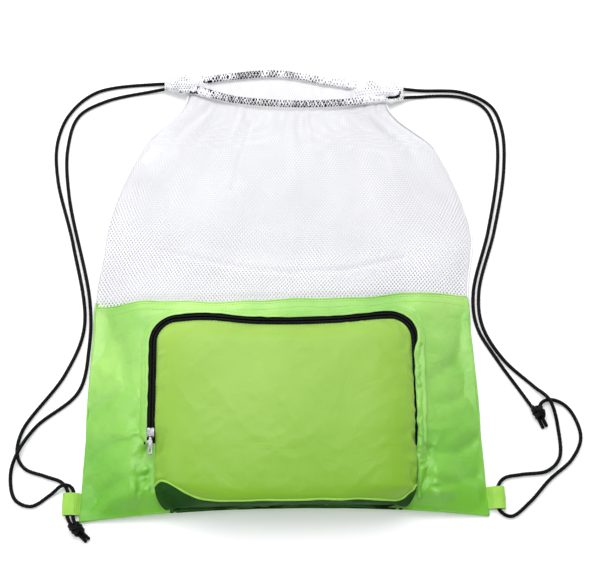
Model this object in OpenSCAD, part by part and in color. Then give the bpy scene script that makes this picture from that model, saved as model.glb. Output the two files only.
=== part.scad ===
// Foldable drawstring backpack: a nylon bottom with a zipped pocket, a mesh top that two cords gather.
// It lies on its back, half stuffed. Millimetres, +Z up, +Y towards the mouth, +X to the right from above.
// The origin is under the middle of the bag, on the surface that it lies on.

/* [Bag] */
// Width at the bottom corners
bag_w = 350; // [340:2:356]
// Width where the nylon ends and the mesh starts
waist_w = 334; // [326:2:340]
// Height of the nylon part, from the bottom corners up
nylon_h = 198; // [190:2:204]
// Half the height of the whole bag
half_h = 212; // [208:1:216]
// Thickness of one layer of cloth
cloth_t = 1.2; // [1:0.1:1.4]
// Height of the stuffed front panel above the surface below
fill_h = 22; // [20:1:24]
// Height of the mesh front above the surface below
mesh_h = 15; // [14:1:17]
// How far the middle of the bottom seam is lifted
seam_lift = 13; // [9:1:15]
// How far the middle of the bottom seam is drawn in
seam_tuck = 7; // [4:1:9]
// How far the mesh leans to the right of the nylon
mesh_lean = 7; // [4:1:9]

/* [Casings] */
// Width of a casing
casing_w = 9; // [8.8:0.1:9.6]
// Height of a casing
casing_h = 5.4; // [5.2:0.1:6]
// Thickness of a casing's wall
casing_t = 0.5; // [0.3:0.1:0.6]

/* [Pocket] */
// Half the width of the zip's two legs, to the middle of the zip
zip_half = 115; // [112:0.5:116]
// Y of the zip's top run
zip_top = -38; // [-40:0.5:-36]
// Radius of the zip's corners
zip_r = 22; // [20:1:26]
// Y of the line that the open flap folds on
fold_y = -145; // [-150:1:-140]
// Height of the pocket's face
face_h = 46; // [42:1:48]
// How far the pocket sits to the right of the bag's middle
pocket_dx = 2; // [0:0.5:3]

/* [Zip] */
// Width of the slider
slider_w = 7.5; // [7:0.1:8]
// Length of the slider
slider_l = 9; // [8:0.5:10]
// Width of the pull tab
pull_w = 4; // [3.6:0.1:4.4]
// Length of the pull tab, from its pin to its tip
pull_l = 17; // [14:1:18]

/* [Cords and loops] */
// Diameter of the cord
cord_d = 3.2; // [3:0.1:3.4]
// Length of a side loop along the seam
loop_l = 20; // [18:1:22]
// How far a side loop stands out from the bottom corner
loop_out = 15; // [14:0.5:16]
// Height of a side loop
loop_h = 6; // [5.8:0.1:6.4]

/* [Hidden] */

green = "yellowgreen";
black = "dimgray";

// The shape of the bag
waist_y = nylon_h - half_h;
seam_top = 2 * cloth_t;
flat_u = 0.72;
seam_gap = 0.5;
casing_gap = 2;
columns = [-1, -0.95, -0.88, -0.8, -0.72, -0.4, 0, 0.4, 0.72, 0.8, 0.88, 0.95, 1];

// The middle lines of the two casings, from the left end to the right end
front_casing = [[-84, 197, 8.5], [-42, 182, 15], [18, 175, 17.5], [66, 179, 13], [100, 180, 9]];
back_casing = [[-88, 206, 5], [-20, 207.5, 4], [48, 200, 4], [100, 197, 5]];

// The zip's section, measured inwards and up from its middle line
zip_z = fill_h + 2.7;
tape_t = 0.6;
coil_in = 0.7;
coil_out = 2;
tape_out = 6;
coil_h = 1.6;
zip_foot_left = -150;
zip_foot_right = -155;
slider_y = fold_y + 4;
slider_gap = 1.2;
plate_t = 1;
pin_r = 0.6;
pin_z = 3.8;
eye_w = 2.4;
lug_t = 0.8;

// The pocket's face starts on the inner tape, clear of the slider
flap_half = zip_half - 4.3;
flap_r = zip_r - 4.3;
flap_top = zip_top - 4.3;
fold_gap = 0.4;

loop_x = bag_w / 2 + loop_out;
loop_y = -197;

// Two cords lie side by side in each casing, this far from its middle line
lane = 1.9;
function beside(path, aside) = [for (p = path) p + [0, aside, 0]];
function reversed(path) = [for (i = [len(path) - 1:-1:0]) path[i]];

// The left cord, from one free end to the other: through its knot and loop, up the outer strand,
// round both casings, and down the inner strand to the same knot
left_outer = [
    [-167, -229, 2], [-179, -218, 4], [-185.5, -207, 3], [-185.5, -187, 3], [-191, -178, 2],
    [-206, -172, 2], [-224, -165, 2], [-231, -153, 2], [-228, -132, 2], [-192, -80, 2],
    [-177, -36, 2], [-190, 42, 2], [-207, 108, 2], [-209, 145, 2], [-199, 175, 2],
    [-174, 198, 2], [-118, 206, 2]
];
left_turn = [[105, 193, 6], [107, 188.5, 7], [105, 184, 8]];
left_inner = [
    [-128, 197, 2], [-166, 188, 2], [-190, 173, 2], [-199, 140, 2], [-196, 92, 2],
    [-173, -12, 2], [-172, -56, 2], [-180, -97, 2], [-216, -128, 2], [-231, -153, 5.4],
    [-236, -171, 2], [-231, -192, 2], [-217, -198, 2], [-201, -188, 2], [-189, -180.5, 5.8],
    [-180.5, -187, 3], [-180.5, -207, 3], [-177, -216, 4], [-163, -226, 2]
];
left_route = concat(
    left_outer, beside(back_casing, -lane), left_turn, reversed(beside(front_casing, lane)), left_inner
);

// The right cord, from one free end to the other: its knot hangs free, the inner strand leads from it,
// and only the outer strand passes through the loop before it comes back to the knot
right_inner = [
    [226, -137, 2], [220.5, -122, 3.6], [212, -107, 2], [191, -74, 2], [174.5, -42, 2],
    [173, -10, 2], [190, 50, 2], [202, 110, 2], [203, 148, 2], [194, 175, 2],
    [172, 187, 2], [130, 188, 2]
];
right_turn = [[-92, 194.6, 10], [-99, 201.3, 10.5], [-94, 208, 9]];
right_outer = [
    [132, 195, 2], [174, 192, 2], [200, 177, 2], [209, 152, 2], [208, 110, 2],
    [195.5, 50, 2], [178, -10, 2], [179.5, -42, 2], [196, -73, 2], [221, -98, 2],
    [234, -112, 5.4], [240, -138, 2], [239, -163, 2], [228, -174, 2], [205, -177, 2],
    [190, -180, 2], [184, -188, 3], [184, -207, 3], [194, -213, 2], [211, -201, 2],
    [229, -182, 2], [250, -164, 2], [259, -145, 2], [253, -123, 2], [243, -113, 2],
    [234, -112, 2], [225, -118, 4], [232, -134, 2]
];
right_route = concat(
    right_inner, reversed(beside(front_casing, -lane)), right_turn, beside(back_casing, lane), right_outer
);

function mix(a, b, t) = a + (b - a) * t;
function ease(t) = let (s = min(max(t, 0), 1)) s * s * (3 - 2 * s);
function unit(v) = v / norm(v);

// Half the bag's width at a height, before the mesh is gathered and after
function half_w(y) = mix(bag_w, waist_w, (y + half_h) / nylon_h) / 2;
function shoulder(y) = waist_w / 2 + 1 - 0.021 * pow(max(y - 40, 0), 1.6);
function lean(y) = mesh_lean * ease((y - waist_y) / 60);

// The bottom seam is drawn in and lifted between the corners
function seam_bow(u) = 1 - pow(abs(u), 2.2);
function seam_y(u) = seam_tuck * seam_bow(u) - half_h;

// Flat over the pocket, easing down to the side seams
function side_slope(u) = ease((1 - abs(u)) / (1 - flat_u));
function fill_at(y) = mix(fill_h, fill_h - 5, ease((y + 36) / 24));

function front_top(u, y) = seam_top + mix(
    seam_lift * seam_bow(u),
    (fill_at(y) - seam_top) * side_slope(u),
    ease((y - seam_y(u)) / 16)
);
function back_low(u, y) = seam_lift * seam_bow(u) * (1 - ease((y - seam_y(u)) / 28));
function panel_point(u, v) = let (y = mix(seam_y(u), waist_y, v)) [u * half_w(y), y];

// Where a column of the mesh ends, on the casing that it is sewn to
function casing_xy(path) = [for (p = path) [p[0], p[1]]];
function casing_xz(path) = [for (p = path) [p[0], p[2]]];
function casing_x(path, u) = mix(path[0][0], path[len(path) - 1][0], (u + 1) / 2);
function casing_foot(path, u) = let (x = casing_x(path, u))
    [x, lookup(x, casing_xy(path)) - casing_w / 2 - casing_gap, lookup(x, casing_xz(path))];
function mesh_xy(path, u, v) = let (
    foot = casing_foot(path, u),
    y = mix(waist_y + 0.2, foot[1], v),
    wide = lean(y) + u * shoulder(y)
) [mix(wide, foot[0], ease((v - 0.75) / 0.25)), y];
function mesh_top(u, v) = let (
    foot = casing_foot(front_casing, u),
    tall = mix(fill_at(waist_y), mesh_h, ease(v / 0.3)) - seam_top,
    across = mix(side_slope(u), 1 - pow(abs(u), 2.6), ease(v / 0.4))
) mix(seam_top + tall * across, foot[2] + cloth_t / 2, ease((v - 0.7) / 0.3));
function mesh_low(u, v) = let (foot = casing_foot(back_casing, u))
    mix(0, foot[2] - cloth_t / 2, ease((v - 0.75) / 0.25));

// A closed sheet of cloth between an upper and a lower grid of points, rows along Y and columns along X
module cloth(upper, lower) {
    rows = len(upper);
    cols = len(upper[0]);
    n = rows * cols;
    points = concat([for (r = upper) each r], [for (r = lower) each r]);
    skin = [for (r = [0:rows - 2]) for (c = [0:cols - 2]) let (
        a = r * cols + c, b = a + 1, d = b + cols, e = a + cols
    ) each [[a, e, d], [a, d, b], [a + n, d + n, e + n], [a + n, b + n, d + n]]];
    ends = [for (c = [0:cols - 2]) let (
        a = c, b = c + 1, d = b + (rows - 1) * cols, e = a + (rows - 1) * cols
    ) each [[a, b, b + n], [a, b + n, a + n], [d, e, e + n], [d, e + n, d + n]]];
    sides = [for (r = [0:rows - 2]) let (
        a = r * cols, e = a + cols, b = a + cols - 1, d = e + cols - 1
    ) each [[e, a, a + n], [e, a + n, e + n], [b, d, d + n], [b, d + n, b + n]]];
    polyhedron(points, concat(skin, ends, sides));
}

// A sheet of even thickness, from the grid of its upper points
module cloth_below(upper) {
    cloth(upper, [for (r = upper) [for (p = r) p - [0, 0, cloth_t]]]);
}

// Sections of a sweep: a section's points are measured to the right of the path and up
function heading(path, i) = unit(path[min(i + 1, len(path) - 1)] - path[max(i - 1, 0)]);
function ring(path, section, i) = let (
    along = heading(path, i),
    right = unit(cross(along, [0, 0, 1])),
    up = cross(right, along)
) [for (s = section) path[i] + s[0] * right + s[1] * up];
function rings(path, section) = [for (i = [0:len(path) - 1]) each ring(path, section, i)];
function wall_faces(count, n, first, flip) = [
    for (i = [0:count - 2]) for (k = [0:n - 1]) let (
        a = first + i * n + k, b = first + i * n + (k + 1) % n, d = b + n, e = a + n
    ) each (flip ? [[a, d, b], [a, e, d]] : [[a, b, d], [a, d, e]])
];

// A solid bar of one section along a path
module bar(path, section) {
    n = len(section);
    last = (len(path) - 1) * n;
    polyhedron(rings(path, section), concat(
        wall_faces(len(path), n, 0, false),
        [[for (k = [n - 1:-1:0]) k], [for (k = [0:n - 1]) last + k]]
    ));
}

// A hollow casing, open at both ends
module pipe(path, outer, inner) {
    n = len(outer);
    count = len(path);
    far = (count - 1) * n;
    in = count * n;
    near_rim = [for (k = [0:n - 1]) let (k2 = (k + 1) % n)
        each [[k, k + in, k2], [k2, k + in, k2 + in]]];
    far_rim = [for (k = [0:n - 1]) let (k2 = (k + 1) % n)
        each [[far + k, far + k2, far + k + in], [far + k2, far + k2 + in, far + k + in]]];
    polyhedron(concat(rings(path, outer), rings(path, inner)), concat(
        wall_faces(count, n, 0, false), wall_faces(count, n, in, true), near_rim, far_rim
    ));
}

function round_section(r, n) = [for (k = [0:n - 1]) [r * cos(360 * k / n), r * sin(360 * k / n)]];
function flat_section(w, h) = [for (s = [
    [w, h / 2], [w - h / 2, h], [h / 2 - w, h], [-w, h / 2],
    [-w, -h / 2], [h / 2 - w, -h], [w - h / 2, -h], [w, -h / 2]
]) s / 2];
function box_section(x0, x1, z0, z1) = [[x1, z0], [x1, z1], [x0, z1], [x0, z0]];

// The zip's middle line: up the left leg, round the top and down the right leg
function zip_line(left_y, right_y) = [for (p = concat(
    [[-zip_half, left_y]],
    [for (a = [180:-15:90]) [zip_r - zip_half, zip_top - zip_r] + zip_r * [cos(a), sin(a)]],
    [for (a = [90:-15:0]) [zip_half - zip_r, zip_top - zip_r] + zip_r * [cos(a), sin(a)]],
    [[zip_half, right_y]]
)) [p[0] + pocket_dx, p[1], zip_z]];

module back_panel() {
    low = [for (v = [0, 0.03, 0.06, 0.09, 0.145, 0.55, 1]) [for (u = columns)
        let (p = panel_point(u, v)) [p[0], p[1], back_low(u, p[1])]]];
    color(green) cloth([for (r = low) [for (p = r) p + [0, 0, cloth_t]]], low);
}

module front_panel() {
    color(green) cloth_below([
        for (v = [0, 0.02, 0.045, 0.085, 0.3, 0.6, 0.8, 0.88, 0.94, 1]) [for (u = columns)
            let (p = panel_point(u, v)) [p[0], p[1], front_top(u, p[1])]]
    ]);
}

module mesh_back() {
    low = [for (v = [0, 0.2, 0.4, 0.6, 0.75, 0.83, 0.92, 1]) [for (u = columns)
        let (p = mesh_xy(back_casing, u, v)) [p[0], p[1], mesh_low(u, v)]]];
    color("white") cloth([for (r = low) [for (p = r) p + [0, 0, cloth_t]]], low);
}

module mesh_front() {
    color("white") cloth_below([
        for (v = [0, 0.1, 0.2, 0.3, 0.45, 0.6, 0.7, 0.78, 0.86, 0.93, 1]) [for (u = columns)
            let (p = mesh_xy(front_casing, u, v)) [p[0], p[1], mesh_top(u, v)]]
    ]);
}

module casing(path) {
    outer = flat_section(casing_w, casing_h);
    inner = flat_section(casing_w - 2 * casing_t, casing_h - 2 * casing_t);
    color("white") pipe(path, outer, inner);
}

module hem_back() {
    casing(back_casing);
}

module hem_front() {
    casing(front_casing);
}

// The face crowns between its edges; edge_z is the height of its rim
function crown(u) = 1 - pow(abs(u), 7);
function flap_rise(y) = 1 - pow(max(0, (y - flap_top + 27) / 27), 2.2);
function face_at(y) = mix(face_h, face_h - 4, (y - fold_y) / (flap_top - fold_y));

module pocket_flap() {
    edge_z = zip_z + tape_t / 2 + cloth_t;
    straight = [for (y = [fold_y + fold_gap, -125, -105, -87, -73]) [y, flap_half]];
    corner = [for (a = [0:15:90]) [
        flap_top - flap_r * (1 - sin(a)), flap_half - flap_r * (1 - cos(a))
    ]];
    color(green) cloth_below([for (row = concat(straight, corner)) [for (u = columns)
        [pocket_dx + u * row[1], row[0], mix(edge_z, face_at(row[0]), crown(u) * flap_rise(row[0]))]
    ]]);
}

// Each row of the pouch: its Y, its half width and the height of its middle
pouch_rows = [
    [-203.6, 92, 17], [-204.6, 94, 26], [-204.4, 97, 36], [-201, 101, 42], [-195, 106, 44.5],
    [-184, 109.5, 45.5], [-165, 110.5, face_h], [fold_y - fold_gap, flap_half, face_h]
];
pouch_foot = -205;
function above_panel(x, y) = front_top(x / half_w(y), y) + seam_gap;

// The bottom wall stands up, so its inner side is set in along Y
function wall_in(y) = cloth_t * (1 - ease((y - pouch_foot) / 12));
function pouch_point(row, u) = let (
    x = pocket_dx + u * row[1],
    rim = above_panel(x, row[0]) + cloth_t
) [x, row[0], mix(rim, max(row[2], rim), crown(u))];
function pouch_inner(p) = let (y = p[1] + wall_in(p[1]))
    [p[0], y, max(p[2] - cloth_t, above_panel(p[0], y))];

module pocket_pouch() {
    outer = [for (row = pouch_rows) [for (u = columns) pouch_point(row, u)]];
    color(green) cloth(outer, [for (r = outer) [for (p = r) pouch_inner(p)]]);
}

module zip_tape_outer() {
    sink = zip_z - fill_h - 0.1;
    color(black) bar(zip_line(zip_foot_left, zip_foot_right), [
        [-coil_out, -tape_t / 2], [-coil_out, tape_t / 2], [-coil_out - 1.8, tape_t / 2],
        [-tape_out, tape_t - sink], [-tape_out, -sink], [-coil_out - 1.8, -tape_t / 2]
    ]);
}

module zip_tape_inner() {
    color(black) bar(
        zip_line(slider_y + slider_l / 2 + 0.5, fold_y + fold_gap),
        box_section(coil_out, tape_out, -tape_t / 2, tape_t / 2)
    );
}

module zip_coil_outer() {
    color("black") bar(
        zip_line(zip_foot_left + 3, zip_foot_right + 3),
        box_section(-coil_out, -coil_in, -coil_h / 2, coil_h / 2)
    );
}

module zip_coil_inner() {
    color("black") bar(
        zip_line(slider_y + slider_l / 2 + 0.5, fold_y + fold_gap),
        box_section(coil_in, coil_out, -coil_h / 2, coil_h / 2)
    );
}

// A folded metal clip over the ends of the coil
module zip_stop(x, y) {
    color("silver") translate([x, y, zip_z]) difference() {
        cube([3.2, 2.4, 3], center = true);
        cube([4, 3, tape_t + 0.02], center = true);
    }
}

module zip_stop_left() {
    zip_stop(pocket_dx - zip_half - coil_out, zip_foot_left + 1.3);
}

module zip_stop_right() {
    zip_stop(pocket_dx + zip_half + coil_out, zip_foot_right + 1.3);
}

// Two plates joined by a thin neck between the coils, with flanges that hold the tapes
module zip_slider() {
    slot = tape_t + 0.7;
    color("silver") translate([pocket_dx - zip_half, slider_y, zip_z]) {
        difference() {
            cube([slider_w, slider_l, 2 * (slider_gap + plate_t)], center = true);
            cube([slider_w - 2 * lug_t, slider_l + 1, 2 * slider_gap], center = true);
            cube([slider_w + 1, slider_l + 1, slot], center = true);
        }
        translate([0, slider_l / 2 - 1.5, 0]) cube([0.8, 2, 2 * slider_gap + 1], center = true);
        for (side = [-1, 1]) translate([side * (eye_w / 2 + 0.1 + lug_t / 2), -slider_l / 3, 0])
            translate([-lug_t / 2, -1.2, slider_gap + plate_t - 0.2]) cube([lug_t, 2.4, 2.4]);
        translate([0, -slider_l / 3, pin_z]) rotate([0, 90, 0])
            cylinder(r = pin_r, h = eye_w + 2 * lug_t, center = true, $fn = 48);
    }
}

// A flat tab with an eye that turns on the slider's pin
module zip_pull() {
    color("silver") translate([pocket_dx - zip_half, slider_y - slider_l / 3, zip_z + pin_z]) {
        difference() {
            union() {
                rotate([0, 90, 0]) cylinder(r = 1.25, h = eye_w, center = true, $fn = 48);
                translate([-eye_w / 2, -4, -0.5]) cube([eye_w, 4, 1]);
            }
            rotate([0, 90, 0]) cylinder(r = pin_r + 0.06, h = eye_w + 1, center = true, $fn = 48);
        }
        translate([0, 0, -0.5]) linear_extrude(1) difference() {
            union() {
                translate([-pull_w / 2, pull_w / 2 - pull_l]) square([pull_w, pull_l - pull_w / 2 - 3]);
                translate([0, pull_w / 2 - pull_l]) circle(d = pull_w, $fn = 48);
            }
            translate([0, pull_w / 2 - pull_l + 0.4]) circle(d = pull_w / 2.2, $fn = 32);
        }
    }
}

// A folded strip sewn into the side seam; the cords pass through it along Y
module side_loop(side) {
    r = loop_h / 2;
    wall = 0.8;
    outer_x = loop_x - r;
    inner_x = bag_w / 2 + r;
    color(green) translate([0, loop_y, 0]) scale([side, 1, 1]) {
        difference() {
            side_loop_body(outer_x, inner_x, r, loop_l);
            side_loop_body(outer_x, inner_x, r - wall, loop_l + 2, r);
        }
        translate([bag_w / 2 - 4, 1 - loop_l / 2, cloth_t / 2]) cube([5, loop_l - 2, cloth_t]);
    }
}

module side_loop_body(x0, x1, r, length, z = 0) {
    mid = z == 0 ? r : z;
    for (x = [x0, x1]) translate([x, 0, mid]) rotate([90, 0, 0])
        cylinder(r = r, h = length, center = true, $fn = 48);
    translate([(x0 + x1) / 2, 0, mid]) cube([x0 - x1, length, 2 * r], center = true);
}

module tab_left() {
    side_loop(-1);
}

module tab_right() {
    side_loop(1);
}

// A sewn-in label that lies inside the mesh, at the left seam
module care_label() {
    color("white") translate([-114, 124, cloth_t + 0.1]) rotate([0, 0, -35])
        translate([-13, -9, 0]) cube([26, 18, 0.5]);
}

module cord_left() {
    color("black") bar(left_route, round_section(cord_d / 2, 8));
}

module cord_right() {
    color("black") bar(right_route, round_section(cord_d / 2, 8));
}

// An overhand knot, pulled tight: a rounded lump along the cord
module knot(at, turn) {
    color("black") translate(at) rotate([0, 0, turn]) hull() {
        for (y = [-1.8, 1.8]) translate([0, y, 0]) sphere(r = 3.9, $fn = 24);
    }
}

module knot_left() {
    knot([-178, -217.5, 4], 40);
}

module knot_right() {
    knot([223, -121.5, 4], 25);
}

back_panel();
front_panel();
mesh_back();
mesh_front();
hem_back();
hem_front();
pocket_flap();
pocket_pouch();
zip_tape_outer();
zip_tape_inner();
zip_coil_outer();
zip_coil_inner();
zip_stop_left();
zip_stop_right();
zip_slider();
zip_pull();
tab_left();
tab_right();
care_label();
cord_left();
cord_right();
knot_left();
knot_right();
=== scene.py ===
# %% [markdown]
# # A drawstring backpack with a net top
# The bag is two cloths sewn together at the sides: green nylon below and white net above, with a zipped
# pocket on the front. Two black cords run through casings round the mouth and down to loops at the
# bottom corners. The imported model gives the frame: where each part is and which ones move. Everything
# here is cloth, cord or small metal, made as meshes around that frame. Shapes are worked out in
# millimetres and turned into metres as each mesh is made.

# %% Load the frame
import math

import bmesh
import bpy
import numpy as np
from mathutils import Matrix, Vector


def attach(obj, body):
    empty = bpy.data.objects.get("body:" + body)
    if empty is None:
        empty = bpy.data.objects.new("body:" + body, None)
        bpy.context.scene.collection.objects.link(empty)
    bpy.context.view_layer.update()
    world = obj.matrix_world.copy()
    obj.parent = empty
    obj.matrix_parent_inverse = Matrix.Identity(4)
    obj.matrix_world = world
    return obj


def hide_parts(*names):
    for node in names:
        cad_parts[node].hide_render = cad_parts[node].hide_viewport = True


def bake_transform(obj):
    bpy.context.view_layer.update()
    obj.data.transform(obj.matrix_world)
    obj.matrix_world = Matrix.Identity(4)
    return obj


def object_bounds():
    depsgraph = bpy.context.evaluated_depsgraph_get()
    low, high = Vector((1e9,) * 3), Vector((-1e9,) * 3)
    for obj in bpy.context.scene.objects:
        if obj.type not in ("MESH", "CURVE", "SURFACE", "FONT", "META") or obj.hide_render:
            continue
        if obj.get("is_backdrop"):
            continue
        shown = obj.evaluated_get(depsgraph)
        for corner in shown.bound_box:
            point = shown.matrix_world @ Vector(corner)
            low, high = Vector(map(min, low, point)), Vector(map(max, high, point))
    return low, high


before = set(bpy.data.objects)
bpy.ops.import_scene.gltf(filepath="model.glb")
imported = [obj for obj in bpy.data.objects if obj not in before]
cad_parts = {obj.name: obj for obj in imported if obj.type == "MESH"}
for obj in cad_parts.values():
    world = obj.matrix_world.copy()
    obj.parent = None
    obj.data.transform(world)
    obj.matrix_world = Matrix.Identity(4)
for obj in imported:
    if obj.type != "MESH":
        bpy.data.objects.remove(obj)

cad_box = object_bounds()
MM = 0.001
SIDES = ((-1, "left"), (1, "right"))

# %% [markdown]
# ## The camera
# The bag lies on its back and is looked at from in front and above, 70 degrees up, with a long lens, so
# that the outline is hardly distorted. The camera leans by just under a degree.

# %% Camera
AIM = Vector((0.0168, 0.0028, 0.0))
DISTANCE, ELEVATION, ROLL = 1.3, math.radians(70), math.radians(-0.9)
LENS, SENSOR = 86.0, 36.0


def place_camera():
    look = Vector((0, math.cos(ELEVATION), -math.sin(ELEVATION)))
    right = Vector((1, 0, 0))
    up = right.cross(look)
    leaned = right * math.cos(ROLL) + up * math.sin(ROLL)
    upright = leaned.cross(look)
    camera = bpy.data.objects.new("camera", bpy.data.cameras.new("camera"))
    camera.data.lens = LENS
    camera.data.sensor_width = SENSOR
    turned = Matrix((leaned, upright, -look)).transposed().to_4x4()
    camera.matrix_world = Matrix.Translation(AIM - look * DISTANCE) @ turned
    bpy.context.scene.collection.objects.link(camera)
    bpy.context.scene.camera = camera
    return camera


print("camera at", [round(x, 3) for x in place_camera().matrix_world.translation])

# %% [markdown]
# ## Helpers for meshes
# Cloth is worked out as a grid of points, which NumPy can bend and crumple all at once. `piece` turns
# points and faces into an object, sets its material and the body that it rides on.
# `thicken` gives an open sheet two sides and a rim, so that even a net is a closed solid.


# %% Pieces and grids
def piece(name, points, faces, material, slot, body="bag", stands_for=()):
    mesh = bpy.data.meshes.new(name)
    points = np.asarray(points, float).reshape(-1, 3) * MM
    mesh.from_pydata(points.tolist(), [], [list(map(int, f)) for f in faces])
    mesh.polygons.foreach_set("use_smooth", [True] * len(mesh.polygons))
    mesh.update()
    made = bpy.data.objects.new(name, mesh)
    bpy.context.scene.collection.objects.link(made)
    mesh.materials.append(material)
    if body:
        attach(made, body)
    if stands_for:
        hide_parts(*stands_for)
    print(f"{name}: {len(mesh.polygons)} faces")
    return made


def grid_faces(rows, cols, wrap=False):
    """Faces of a grid of points; wrap joins the last column to the first."""
    r, c = np.meshgrid(np.arange(rows - 1), np.arange(cols if wrap else cols - 1), indexing="ij")
    a = (r * cols + c).ravel()
    b = (r * cols + (c + 1) % cols).ravel()
    return np.stack([a, b, b + cols, a + cols], 1)


def grid_normals(points):
    across = np.gradient(points, axis=1)
    along = np.gradient(points, axis=0)
    normal = np.cross(across, along)
    return normal / np.maximum(np.linalg.norm(normal, axis=-1, keepdims=True), 1e-9)


def thicken(points, faces, normals, thickness):
    """Both sides of a sheet, with walls round every open edge."""
    n = len(points)
    both = np.concatenate([points + normals * thickness / 2, points - normals * thickness / 2])
    start, end = faces.ravel(), np.roll(faces, -1, axis=1).ravel()
    rim = ~np.isin(start * n + end, end * n + start)
    a, b = start[rim], end[rim]
    walls = np.stack([a, a + n, b + n, b], 1)
    return both, np.concatenate([faces, faces[:, ::-1] + n, walls])


def sheet_piece(name, grid, thickness, *where, **more):
    """A closed sheet of cloth whose middle surface is a grid of points."""
    rows, cols = grid.shape[:2]
    points, faces = thicken(
        grid.reshape(-1, 3), grid_faces(rows, cols), grid_normals(grid).reshape(-1, 3), thickness
    )
    return piece(name, points, faces, *where, **more)


# %% [markdown]
# ## Helpers for curves, noise and folds
# A smooth curve through a few chosen points is what a cord does between the places that hold it. The
# curve used here is a centripetal Catmull-Rom, because it never overshoots at a tight bend. Folds come
# from smooth noise: plain noise swells the cloth, and noise folded back on itself leaves sharp creases.


# %% Curves and noise
def smooth(route, step):
    """A smooth curve through the points of a route, in even steps."""
    p = np.asarray(route, float)
    p = np.concatenate([[2 * p[0] - p[1]], p, [2 * p[-1] - p[-2]]])
    knots = np.concatenate([[0], np.cumsum(np.linalg.norm(np.diff(p, axis=0), axis=1) ** 0.5)])
    line = []
    for i in range(1, len(p) - 2):
        k = knots[i - 1:i + 3]
        t = np.linspace(k[1], k[2], 40, endpoint=False)[:, None]
        a = [((k[j + 1] - t) * p[i - 1 + j] + (t - k[j]) * p[i + j]) / (k[j + 1] - k[j]) for j in range(3)]
        b = [((k[j + 2] - t) * a[j] + (t - k[j]) * a[j + 1]) / (k[j + 2] - k[j]) for j in range(2)]
        line.append(((k[2] - t) * b[0] + (t - k[1]) * b[1]) / (k[2] - k[1]))
    return even(np.concatenate(line + [p[-2][None]]), step)


def travelled(line):
    """How far along a line each of its points is."""
    return np.concatenate([[0], np.cumsum(np.linalg.norm(np.diff(line, axis=0), axis=1))])


def points_at(line, far, stops):
    """The points of a line where `far` has the values of `stops`."""
    return np.stack([np.interp(stops, far, line[:, k]) for k in range(3)], 1)


def even(line, step):
    far = travelled(line)
    return points_at(line, far, np.linspace(0, far[-1], max(int(round(far[-1] / step)), 2) + 1))


def relaxed(line, times):
    """The line with its small kinks smoothed away."""
    for _ in range(times):
        line[1:-1] = (line[:-2] + 2 * line[1:-1] + line[2:]) / 4
    return line


def length_of(line):
    return float(np.linalg.norm(np.diff(line, axis=0), axis=1).sum())


def ease(t):
    s = np.clip(t, 0, 1)
    return s * s * (3 - 2 * s)


def mix(a, b, t):
    return a + (b - a) * t


def noise(x, y, size, seed):
    """Smooth noise from -1 to 1, with swells about `size` millimetres apart."""
    table = np.random.RandomState(seed).uniform(-1, 1, (64, 64))
    gx, gy = np.asarray(x) / size + 100, np.asarray(y) / size + 100
    ix, iy = np.floor(gx).astype(int), np.floor(gy).astype(int)
    fx, fy = ease(gx - ix), ease(gy - iy)
    pick = lambda a, b: table[(ix + a) % 64, (iy + b) % 64]
    return mix(mix(pick(0, 0), pick(1, 0), fx), mix(pick(0, 1), pick(1, 1), fx), fy)


def creases(x, y, size, turn, stretch, seed):
    """Sharp folds, longer than they are wide, running `turn` degrees from X; from -1 to 1."""
    c, s = math.cos(math.radians(turn)), math.sin(math.radians(turn))
    along, across = (x * c + y * s) / stretch, -x * s + y * c
    across = across + 0.3 * size * noise(x, y, 2.2 * size, seed + 7)
    return 1 - 2.6 * np.abs(noise(along, across, size, seed))


# %% [markdown]
# ## The cords
# Each cord is one piece of 3.2 mm braid. The left one starts and ends in the knot below the left loop:
# it goes up, round through both casings and back. The right one does the same from the other side. The
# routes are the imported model's own along both sides. At the mouth they follow the visible casings, which
# lie up to 8 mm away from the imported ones, and their turns are arcs wide enough for a limp cord. A cord
# could be a curve with a bevel, but a mesh tube can carry its braid: strands that wind both ways round
# the cord and stand up where they cross.

# %% Routes of the cords, in millimetres
LANE = 1.9
CORD = 3.2
FRONT_CASING = [[-84, 197, 8.5], [-42, 182, 15], [18, 175, 17.5], [66, 178.5, 13], [100, 184.5, 9]]
BACK_CASING = [[-88, 206, 5], [-44, 211.5, 5], [0, 213.5, 5], [50, 204, 4], [100, 196, 5]]


def beside(path, aside):
    return [[x, y + aside, z] for x, y, z in path]


def around(x, y, first, last, low, high, radius=7.2):
    """Points of a turn round (x, y), between two angles in degrees, wide enough for a limp cord."""
    at = np.radians(np.linspace(first, last, 5))
    heights = np.linspace(low, high, 5)
    return [[x + radius * math.cos(a), y + radius * math.sin(a), z] for a, z in zip(at, heights)]


LEFT_ROUTE = [
    [-168, -229.5, 2], [-179, -218, 4], [-185.5, -207, 3], [-185.5, -187, 3], [-191, -178, 2],
    [-206, -172, 2], [-224, -165, 2], [-231, -153, 2], [-228, -132, 2], [-192, -80, 2],
    [-177, -36, 2], [-190, 42, 2], [-207, 108, 2], [-209, 145, 2], [-199, 175, 2],
    [-174, 198, 2], [-118, 206, 2],
    *beside(BACK_CASING[:-1], -LANE), [86, 196.6, 4.6],
    *around(107, 191.4, 100, -100, 6.2, 9.2), [86, 184, 10.4],
    *beside(FRONT_CASING[:-1], LANE)[::-1],
    [-128, 197, 2], [-166, 188, 2], [-190, 173, 2], [-199, 140, 2], [-196, 92, 2],
    [-173, -12, 2], [-172, -56, 2], [-180, -97, 2], [-216, -128, 2], [-231, -153, 5.4],
    [-236, -171, 2], [-231, -192, 2], [-217, -198, 2], [-201, -188.5, 2],
    *around(-187.7, -187.6, 120, 0, 5.4, 3.4), [-180.5, -207, 3], [-177, -216, 4], [-165.6, -227.2, 2],
]
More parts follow.
